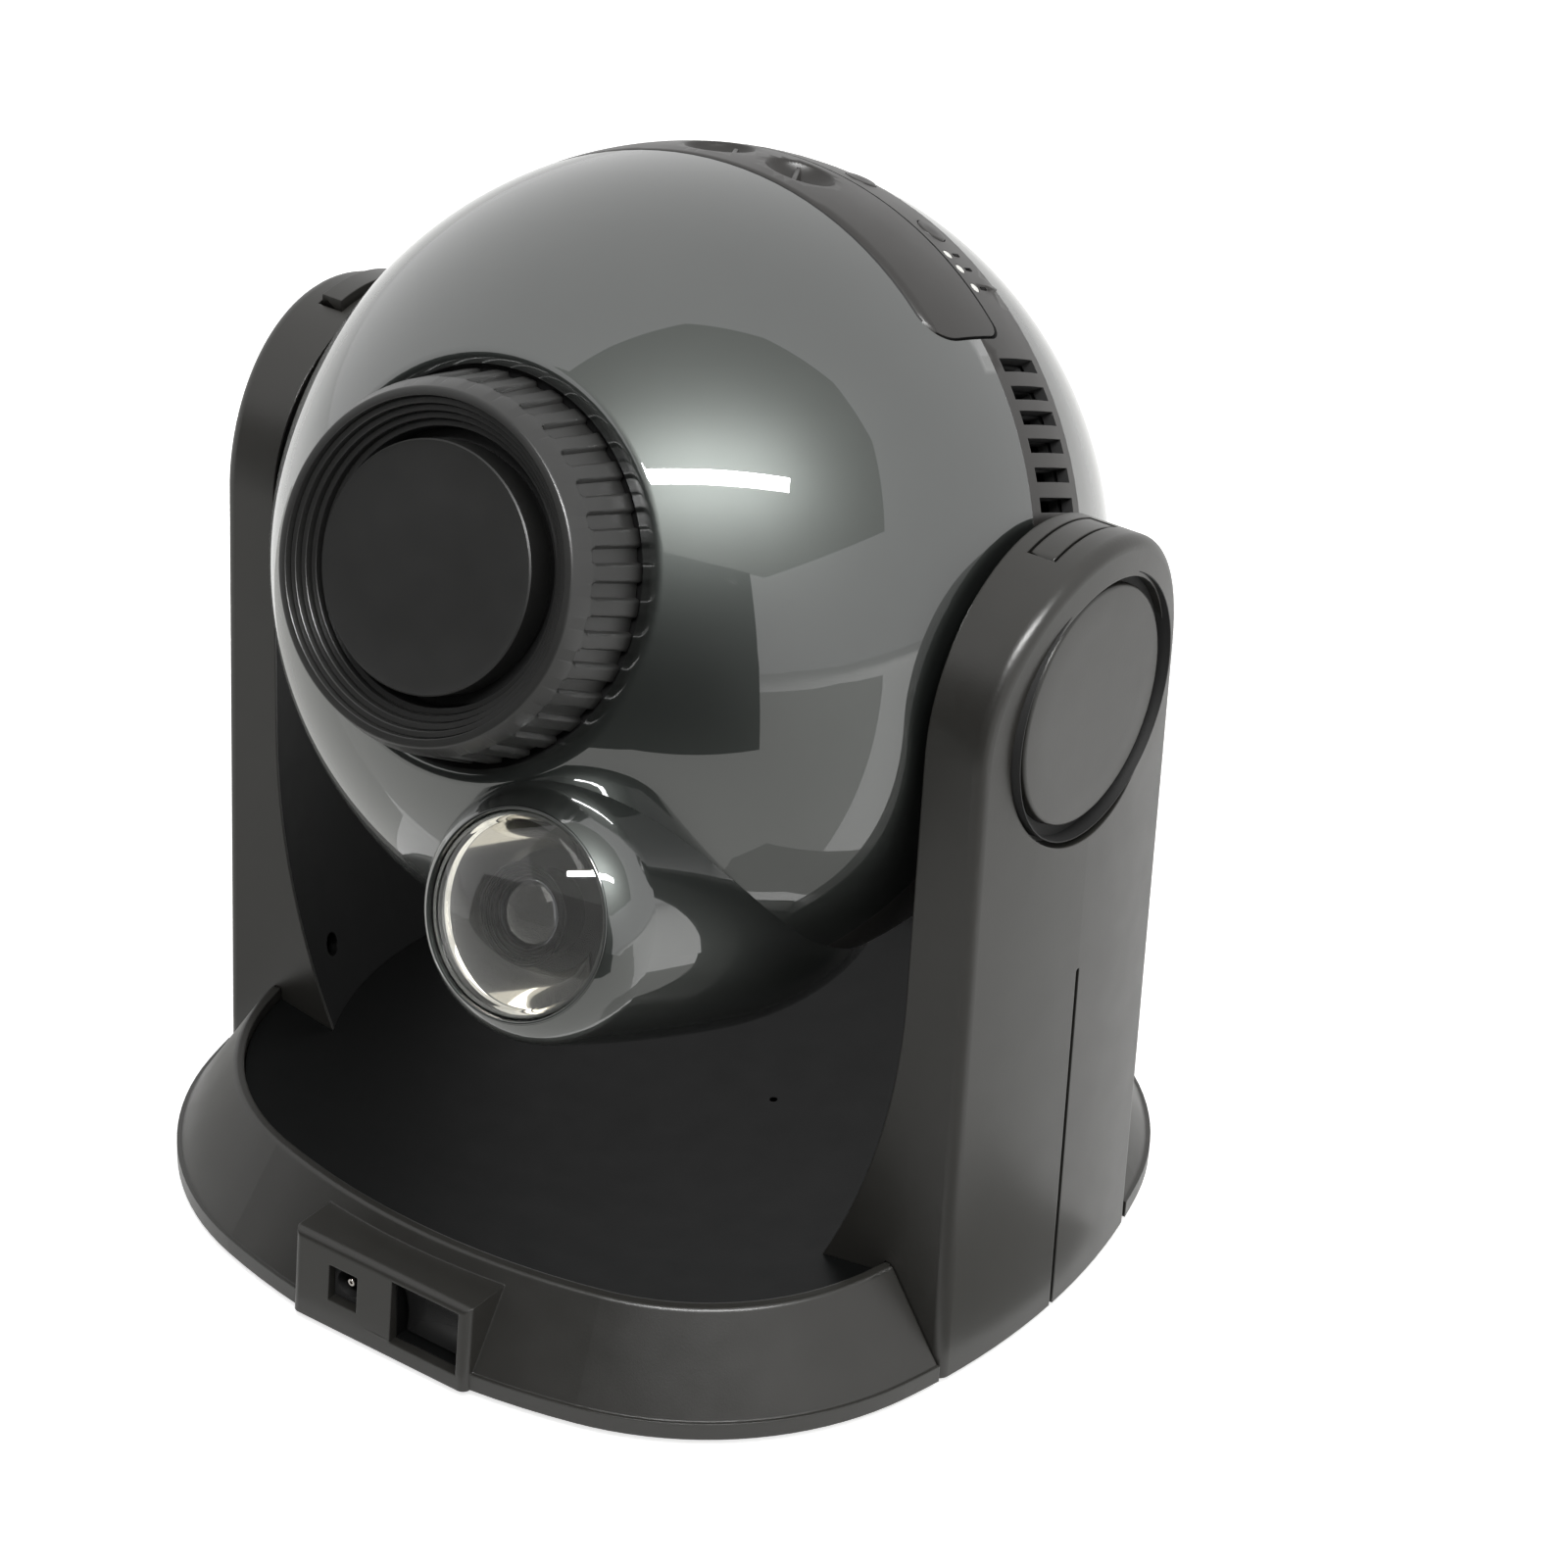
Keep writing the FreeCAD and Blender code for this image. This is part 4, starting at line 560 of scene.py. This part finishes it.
def pivot_cap():
    face, rim, bore, wall, edge = 99.7, 25.4, 23.4, 1.6, 0.9
    crown = [(0, face), (18.0, face - 0.05)] + arc((rim - edge, face - 1.05), edge, 90, 0, 5)
    return spun(crown + [(rim, HUB_FLOOR), (bore, HUB_FLOOR), (bore, face - wall), (0, face - wall)], 128)


# A black ring that fills the gap round each cap, as painted shade of the deep recess.
def painted_shade_ring():
    inner, outer, lip, web = 25.5, 28.44, 100.45, 97.2
    outline = [(inner, HUB_FLOOR), (outer, HUB_FLOOR), (outer, lip), (28.2, lip), (28.0, web), (inner, web)]
    return spun(outline, 128)


for name, side in (("right", 1), ("left", -1)):
    make_piece(name + "_hub_cover", pivot_cap(), [grey_abs], "stand", name + "_pivot_cap", axle(side))
    # The black ring in the gap is painted shade.
    make_piece(name + "_painted_shade_ring", painted_shade_ring(), [black_abs_and_painted_shade], "stand", None, axle(side))
    plug = node_copy(name + "_arm_plug")
    xs, ys = [v.co.x for v in plug.verts], [v.co.y for v in plug.verts]
    middle = Vector(((max(xs) + min(xs)) / 2, (max(ys) + min(ys)) / 2, 0))
    wide, deep = max(xs) - min(xs), max(ys) - min(ys)
    shrink = Matrix.Diagonal((1 - PLUG_GAP * MM / wide, 1 - PLUG_GAP * MM / deep, 1, 1))
    plug.transform(Matrix.Translation(middle) @ shrink @ Matrix.Translation(-middle))
    make_piece(name + "_top_plug", plug, [grey_abs], "stand", name + "_arm_plug", Matrix.Identity(4))

# %% [markdown]
# ## Shells, middle band and lid
# Lacquer is sprayed on the outside only, so the inside of each shell stays raw black ABS. The walls of the
# openings, the inside of the band and the edges of the lid are black as painted shade, so what shows through
# the cooling slots and round the lid is dark. The shells and the band keep the shape of their CAD meshes, and
# only the faces below the outer skin change finish. The lid is drawn in a little at its edges, which leaves a
# dark line round it.

# %% Shells, band and lid
SKIN = (BALL - 0.35) * MM


def below_skin(face):
    return (face.calc_center_median() - PIVOT).length < SKIN


def finish_with_raw_black_and_shade(name, node, body, outer, form, inner_face=below_skin):
    """Make a piece with one finish outside and black inner faces, partly raw ABS under lacquer and partly
    painted shade in gaps and slots.
    """
    for face in form.faces:
        face.material_index = 1 if inner_face(face) else 0
    make_piece(name, form, [outer, black_abs_and_painted_shade], body, node, Matrix.Identity(4))


# Black inner faces: raw ABS under the lacquer, and painted shade on the walls of the openings.
finish_with_raw_black_and_shade("lacquered_front_shell", "front_shell", "head", lacquer, node_copy("front_shell"))
finish_with_raw_black_and_shade("lacquered_rear_shell", "rear_shell", "head", lacquer, node_copy("rear_shell"))
# The band's inner faces are black as painted shade in its slots.
finish_with_raw_black_and_shade("slotted_band", "centre_band", "head", band_abs, node_copy("centre_band"))

LID_MIDDLE, LID_WIDTH, LID_ARC, LID_TRIM = 13.35, 21.9, 41.7, 0.3
LID_INNER, LID_EDGE = 79.0, 0.6


def trimmed_lid():
    """The lid with all its edges drawn in a little, in the head's own axes and back again."""
    form = node_copy("tray_lid")
    form.transform(HEAD.inverted())
    for vert in form.verts:
        x, y, z = vert.co
        radius, angle = math.hypot(x, y), math.atan2(x, y)
        if radius > LID_INNER * MM:
            angle *= 1 - LID_TRIM / (BALL * math.radians(LID_ARC))
            z = LID_MIDDLE * MM + (z - LID_MIDDLE * MM) * (1 - 2 * LID_TRIM / LID_WIDTH)
            vert.co = Vector((radius * math.sin(angle), radius * math.cos(angle), z))
    form.transform(HEAD)
    return form


# The lid's side and end walls, painted black as the shade of the gap round it.
def lid_painted_shade_walls(face):
    place = HEAD.inverted() @ face.calc_center_median()
    near_side = abs(place.z - LID_MIDDLE * MM) > (LID_WIDTH / 2 - LID_EDGE) * MM
    near_end = abs(math.degrees(math.atan2(place.x, place.y))) > LID_ARC - LID_EDGE
    return below_skin(face) and (near_side or near_end)


finish_with_raw_black_and_shade("trimmed_lid", "tray_lid", "tray", band_abs, trimmed_lid(), lid_painted_shade_walls)

# %% [markdown]
# ## Buttons and lights
# Two round keys stand a touch proud of the band, with a crowned top. Three milky light pipes end flush beside
# small printed marks.

# %% Buttons, light pipes and marks
def on_band(angle, forward):
    """Takes a piece drawn along Z to a place on the band, pointing outwards."""
    turn = Matrix.Rotation(-math.radians(angle), 4, "Z")
    return HEAD @ turn @ Matrix.Translation((0, 0, forward * MM)) @ Matrix.Rotation(math.radians(-90), 4, "X")


KEY_FOOT = 80.6


def button():
    rim, flange, shoulder = 3.3, 4.6, 81.8
    crown = [(0, 88.5), (1.4, 88.42), (2.4, 88.2)] + arc((2.85, 87.75), 0.45, 70, 0, 4)
    skirt = [(rim, 87.4), (rim, shoulder), (flange, shoulder), (flange, KEY_FOOT), (0, KEY_FOOT)]
    return spun(crown + skirt, 64)


def light_pipe():
    radius = 1.15
    return spun([(0, 88.12), (0.7, 88.06), (radius, 87.9), (radius, KEY_FOOT), (0, KEY_FOOT)], 32)


def printed_mark(length, width):
    level, thickness, rounding = 87.9, 0.2, 0.45
    form = bmesh.new()
    bmesh.ops.create_cube(form, size=1.0)
    size = Matrix.Diagonal((length * MM, width * MM, thickness * MM, 1))
    form.transform(Matrix.Translation((0, 0, level * MM)) @ size)
    upright = thickness * MM / 2
    corners = [e for e in form.edges if abs((e.verts[0].co - e.verts[1].co).z) > upright]
    bmesh.ops.bevel(form, geom=corners, offset=width * rounding * MM, segments=3, profile=0.5,
                    affect="EDGES", material=-1)
    return form


LIGHT_FORWARD, MARK_FORWARD = -0.3, -3.6
LIGHT_ANGLES = (27.6, 30.3, 33.7)
MARK_LENGTH, MARK_WIDTH = 0.8, 2.4
for name, node, body, angle, forward in (("timer_key_top", "timer_button", "timer_key", 9.3, -4.5),
                                         ("meteor_key_top", "meteor_button", "meteor_key", 22.6, -3.6)):
    make_piece(name, button(), [band_abs], body, node, on_band(angle, forward))
pipes, marks = bmesh.new(), bmesh.new()
for angle in LIGHT_ANGLES:
    for target, form, forward in ((pipes, light_pipe(), LIGHT_FORWARD),
                                  (marks, printed_mark(MARK_LENGTH, MARK_WIDTH), MARK_FORWARD)):
        form.transform(on_band(angle, forward))
        merge(target, form)
make_piece("light_pipes", pipes, [diffuser], "head", "status_windows", Matrix.Identity(4))
make_piece("printed_marks", marks, [ink], "head", None, Matrix.Identity(4))

# %% [markdown]
# ## Finger grips of the lid
# Each scoop in the lid has a slanting ridge for the finger to pull on. The ridge is a thin wedge whose feet
# end inside the lid.

# %% Finger ridges
RIDGE_START, RIDGE_RUN = (7.0, 8.6), (5.6, 10.4)
RIDGE_FOOT, RIDGE_SUNK = 80.5, 0.7
RIDGE_FOOT_HALF, RIDGE_TOP_HALF = 1.7, 0.45


def ridge(left):
    form = bmesh.new()
    start = Vector((RIDGE_START[0] + left, 0, RIDGE_START[1]))
    run = Vector((RIDGE_RUN[0], 0, RIDGE_RUN[1]))
    across = run.cross(Vector((0, 1, 0))).normalized()
    ends = []
    for place in (start, start + run):
        top = math.sqrt((BALL - RIDGE_SUNK) ** 2 - place.x ** 2 - place.z ** 2)
        section = ((RIDGE_FOOT, -RIDGE_FOOT_HALF), (RIDGE_FOOT, RIDGE_FOOT_HALF),
                   (top, RIDGE_TOP_HALF), (top, -RIDGE_TOP_HALF))
        ends.append([form.verts.new((place + Vector((0, level, 0)) + across * half) * MM)
                     for level, half in section])
    form.faces.new(ends[0])
    form.faces.new(ends[1])
    for i in range(4):
        j = (i + 1) % 4
        form.faces.new((ends[0][i], ends[0][j], ends[1][j], ends[1][i]))
    bmesh.ops.recalc_face_normals(form, faces=form.faces)
    return soften(form, 0.2, 2)


for name, left in (("right_finger_ridge", 0.0), ("left_finger_ridge", -15.6)):
    make_piece(name, ridge(left), [band_abs], "tray")

# %% [markdown]
# ## Switch, socket pin, rubber ring and screws
# Small parts that give the stand its scale: a polished rocker with softened edges, a plated pin with a small
# well in its tip, a rubber ring with rounded edges under the base, and pan head screws. The cross recess of a
# screw is painted as a thin dark inlay, which stands for its shade.

# %% Rocker and socket pin
ROCKER_LEAN, ROCKER_HALF = 8.0, 8.65
ROCKER = (Matrix.Translation(Vector((12.0, -93.9, 12.6)) * MM)
          @ Matrix.Rotation(math.radians(ROCKER_LEAN), 4, "X"))
SOCKET_PIN = (Matrix.Translation(Vector((-9.85, -99.4, 12.6)) * MM)
              @ Matrix.Rotation(math.radians(-90), 4, "X"))


def rocker():
    edge_round, axle_radius, axle_length = 0.55, 1.2, 19.0
    side = [(-4.6, -6.9), (1.8, -4.0), (1.8, 4.0), (-4.6, 6.9), (-3.5, 3.4), (-3.2, 0), (-3.5, -3.4)]
    form = bmesh.new()
    flat = form.faces.new([form.verts.new(Vector((-ROCKER_HALF, y, z)) * MM) for y, z in side])
    grown = bmesh.ops.extrude_face_region(form, geom=[flat])
    moved = [item for item in grown["geom"] if isinstance(item, bmesh.types.BMVert)]
    bmesh.ops.translate(form, verts=moved, vec=Vector((2 * ROCKER_HALF, 0, 0)) * MM)
    bmesh.ops.recalc_face_normals(form, faces=form.faces)
    soften(form, edge_round, 3, 40)
    pin = bmesh.ops.create_cone(form, cap_ends=True, segments=24, radius1=axle_radius * MM,
                                radius2=axle_radius * MM, depth=axle_length * MM)
    bmesh.ops.rotate(form, verts=pin["verts"], cent=(0, 0, 0),
                     matrix=Matrix.Rotation(math.radians(90), 3, "Y"))
    return form


def socket_pin():
    radius, length, well = 1.0, 6.4, 1.3
    tip = [(0, well), (0.4, well), (0.4, 0), (0.8, 0), (radius, 0.25)]
    return spun(tip + [(radius, length), (0, length)], 32)


make_piece("polished_rocker", rocker(), [rocker_abs], "switch", "switch_rocker", ROCKER)
make_piece("plated_pin", socket_pin(), [plated], "stand", "dc_jack_pin", SOCKET_PIN)


# %% Rubber ring and screws
def rubber_ring():
    inner, outer, top, edge = 78.0, 86.0, 2.1, 0.7
    low = arc((inner + edge, edge), edge, 180, 270, 5) + arc((outer - edge, edge), edge, 270, 360, 5)
    return spun(low + [(outer, top), (inner, top)], 160)


def pan_screw(length):
    """A pan head screw pointing along Z from its head, with a thin dark cross laid in the head as painted
    shade of its recess.
    """
    shank, seat = 1.5, 2.0
    cross_length, cross_width, cross_thickness, cross_level = 3.2, 0.75, 0.08, 0.02
    form = spun([(0, 0.0), (1.6, 0.05), (2.3, 0.35), (2.8, 1.0), (2.9, 1.5), (2.9, seat), (shank, seat),
                 (shank, length), (0, length)], 48)
    cross = bmesh.new()
    bar_size = Matrix.Diagonal((cross_length * MM, cross_width * MM, cross_thickness * MM, 1))
    for turn in (0, 90):
        bar = bmesh.ops.create_cube(cross, size=1.0)
        shape = Matrix.Rotation(math.radians(turn), 4, "Z") @ bar_size
        bmesh.ops.transform(cross, matrix=Matrix.Translation((0, 0, cross_level * MM)) @ shape,
                            verts=bar["verts"])
    # The cross takes the black finish as painted shade of a recess.
    for face in cross.faces:
        face.material_index = 1
    merge(form, cross)
    return form


def screws(name, node, body, low, length, spots, place):
    """Four equal screws in one piece: low is the level of their heads."""
    group = bmesh.new()
    for x, y in spots:
        form = pan_screw(length)
        form.transform(Matrix.Translation(Vector((x, y, low)) * MM))
        merge(group, form)
    make_piece(name, group, [steel, black_abs_and_painted_shade], body, node, place)


make_piece("foot_ring_rubber", rubber_ring(), [rubber], "stand", "foot_ring", Matrix.Identity(4))
CORNERS = [(1, 1), (-1, 1), (-1, -1), (1, -1)]
BASE_SCREW_AT, SHELL_SCREW_AT = 65.6, 53.7
screws("base_cross_screws", "base_screws", "stand", 2.0, 8.4,
       [(BASE_SCREW_AT * i, BASE_SCREW_AT * j) for i, j in CORNERS], Matrix.Identity(4))
screws("shell_cross_screws", "head_screws", "head", -38.0, 31.0,
       [(SHELL_SCREW_AT * i, SHELL_SCREW_AT * j) for i, j in CORNERS], HEAD)

# %% [markdown]
# ## Room
# A flat pale floor under white world light. The floor and the world answer camera, glossy and transmission
# rays with white or nearly so, so that the picture's ground stays white, and they light the object with less.

# %% Floor and world
FILL_STRENGTH = 0.45
FLOOR_HALF, FLOOR_GLOW, FLOOR_CAMERA_GLOW = 3.0, 0.4, 0.3


def seen_rays(tree):
    """The light path node, and a node that is one for camera, glossy and transmission rays."""
    path = add(tree, "LightPath")
    seen = add(tree, "Math", {0: path.outputs["Is Camera Ray"], 1: path.outputs["Is Glossy Ray"]},
               operation="MAXIMUM")
    seen = add(tree, "Math", {0: seen.outputs[0], 1: path.outputs["Is Transmission Ray"]},
               operation="MAXIMUM")
    return path, seen


def make_world():
    world = bpy.data.worlds.new("studio")
    bpy.context.scene.world = world
    world.use_nodes = True
    tree = world.node_tree
    tree.nodes.clear()
    seen = seen_rays(tree)[1]
    fill = add(tree, "Background", {"Color": linear("#ffffff"), "Strength": FILL_STRENGTH})
    white = add(tree, "Background", {"Color": linear("#ffffff"), "Strength": 1.0})
    mix = add(tree, "MixShader", {0: seen.outputs[0], 1: fill.outputs[0], 2: white.outputs[0]})
    add(tree, "OutputWorld", {"Surface": mix.outputs[0]})


def make_floor():
    form = bmesh.new()
    bmesh.ops.create_grid(form, x_segments=1, y_segments=1, size=FLOOR_HALF)
    mesh = bpy.data.meshes.new("floor")
    form.to_mesh(mesh)
    form.free()
    floor = bpy.data.objects.new("floor", mesh)
    bpy.context.scene.collection.objects.link(floor)
    material, tree, shader = finish("pale_studio_floor")
    path, seen = seen_rays(tree)
    colour = add(tree, "Mix", {0: seen.outputs[0], 6: linear("#a8a8a6"), 7: linear("#f2f2f0")},
                 data_type="RGBA")
    tree.links.new(colour.outputs[2], shader.inputs["Base Color"])
    shader.inputs["Roughness"].default_value = 0.9
    shader.inputs["Specular IOR Level"].default_value = 0.0
    glow = add(tree, "Math", {0: seen.outputs[0], 1: FLOOR_GLOW}, operation="MULTIPLY")
    glow = add(tree, "Math", {0: path.outputs["Is Camera Ray"], 1: FLOOR_CAMERA_GLOW, 2: glow.outputs[0]},
               operation="MULTIPLY_ADD")
    shader.inputs["Emission Color"].default_value = linear("#ffffff")
    tree.links.new(glow.outputs[0], shader.inputs["Emission Strength"])
    mesh.materials.append(material)


make_world()
make_floor()
print("floor and world ready")

# %% [markdown]
# The lamps are soft boxes above and to the right. They light the plastics but stay out of the mirror-like
# coat. What the coat shows instead is set apart: one long tube, a grey ceiling and the dark side of the room
# behind the camera, on cards that only reflections see.

# %% Lamps and cards
def lamp(name, place, target, size, power):
    data = bpy.data.lights.new(name, "AREA")
    data.shape = "RECTANGLE"
    data.size, data.size_y = size
    data.energy = power
    item = bpy.data.objects.new(name, data)
    item.location = place
    item.rotation_euler = (Vector(target) - Vector(place)).to_track_quat("-Z", "Y").to_euler()
    item.visible_glossy = False
    bpy.context.scene.collection.objects.link(item)


def card(name, corners, tone, strength=1.0):
    """A flat card that only reflections see."""
    form = bmesh.new()
    form.faces.new([form.verts.new(c) for c in corners])
    mesh = bpy.data.meshes.new(name)
    form.to_mesh(mesh)
    form.free()
    material, tree, shader = finish(name + "_card")
    tree.nodes.remove(shader)
    glow = add(tree, "Emission", {"Color": linear(tone), "Strength": strength})
    output = [node for node in tree.nodes if node.type == "OUTPUT_MATERIAL"][0]
    tree.links.new(glow.outputs[0], output.inputs["Surface"])
    mesh.materials.append(material)
    item = bpy.data.objects.new(name, mesh)
    bpy.context.scene.collection.objects.link(item)
    item.visible_camera = False
    item.visible_diffuse = False
    item.visible_shadow = False
    item.visible_transmission = False


def tube(name, start, end, width, strength):
    """A long thin lamp that the coat mirrors as a bright line, its width square to the way to the ball."""
    along = (end - start).normalized()
    side = ((start + end) / 2 - PIVOT).cross(along).normalized() * width / 2
    card(name, [start - side, end - side, end + side, start + side], "#ffffff", strength)


lamp("overhead", (0.35, -0.25, 1.55), PIVOT, (1.2, 1.2), 16)
lamp("right_side", (1.7, 0.1, 0.75), PIVOT, (0.9, 0.9), 6.5)
tube("tube_lamp", Vector((0.165, -0.955, 1.15)), Vector((0.975, -0.36, 1.15)), 0.09, 105.0)
CEILING_AT, TABLE_AT, NEAR_TABLE_AT, ROOM_FOOT_AT = 1.35, 0.002, 0.003, 0.004
card("ceiling", [(x, y, CEILING_AT) for x, y in (
    (-0.75, -0.95), (-0.57, -0.663), (-0.321, -0.319), (-0.064, -0.016), (0.255, 0.168), (0.678, 0.311),
    (1.224, 0.366), (2.6, 0.2), (2.4, -1.6), (-0.3, -2.2))], "#b4b6b2")
card("dark_room", [(-0.45, -0.45, ROOM_FOOT_AT), (0.164, -0.378, ROOM_FOOT_AT), (0.341, -0.257, ROOM_FOOT_AT),
                   (0.778, -0.614, 0.595), (0.318, -0.958, 0.551), (-1.1, -0.85, 0.5)], "#141416")
card("table_front", [(x, y, TABLE_AT) for x, y in (
    (-0.3, -0.107), (0.05, -0.107), (0.088, -0.088), (0.12, -0.05), (1.2, -0.1), (1.0, -1.2), (-0.8, -1.0))],
     "#dededb")
# A darker patch of table beside the base, seen only in reflections, is the object's painted shadow.
card("table_painted_shadow", [(x, y, NEAR_TABLE_AT) for x, y in (
    (0.088, -0.09), (0.12, -0.107), (0.15, -0.1), (0.16, 0.03), (0.106, 0.03), (0.106, -0.05))], "#b4b4b1")
card("table_left", [(x, y, TABLE_AT) for x, y in (
    (-0.107, -0.1), (-0.107, 0.06), (-0.6, 0.1), (-0.6, -0.25))], "#cfcfcc")
SPOTS = ((0.384, -0.933, 0.553), (0.452, -0.894, 0.57), (0.735, -0.686, 0.562))
SPOT_HALF_WIDTH, SPOT_HALF_HEIGHT, SPOT_STRENGTH = 0.016, 0.011, 30.0
for number, place in enumerate(SPOTS):
    centre = Vector(place)
    across = Vector((0.8, 0.6, 0.0)) * SPOT_HALF_WIDTH
    up = Vector((0, 0, SPOT_HALF_HEIGHT))
    card("spot_%d" % number, [centre - across - up, centre + across - up, centre + across + up,
                              centre - across + up], "#ffffff", SPOT_STRENGTH)
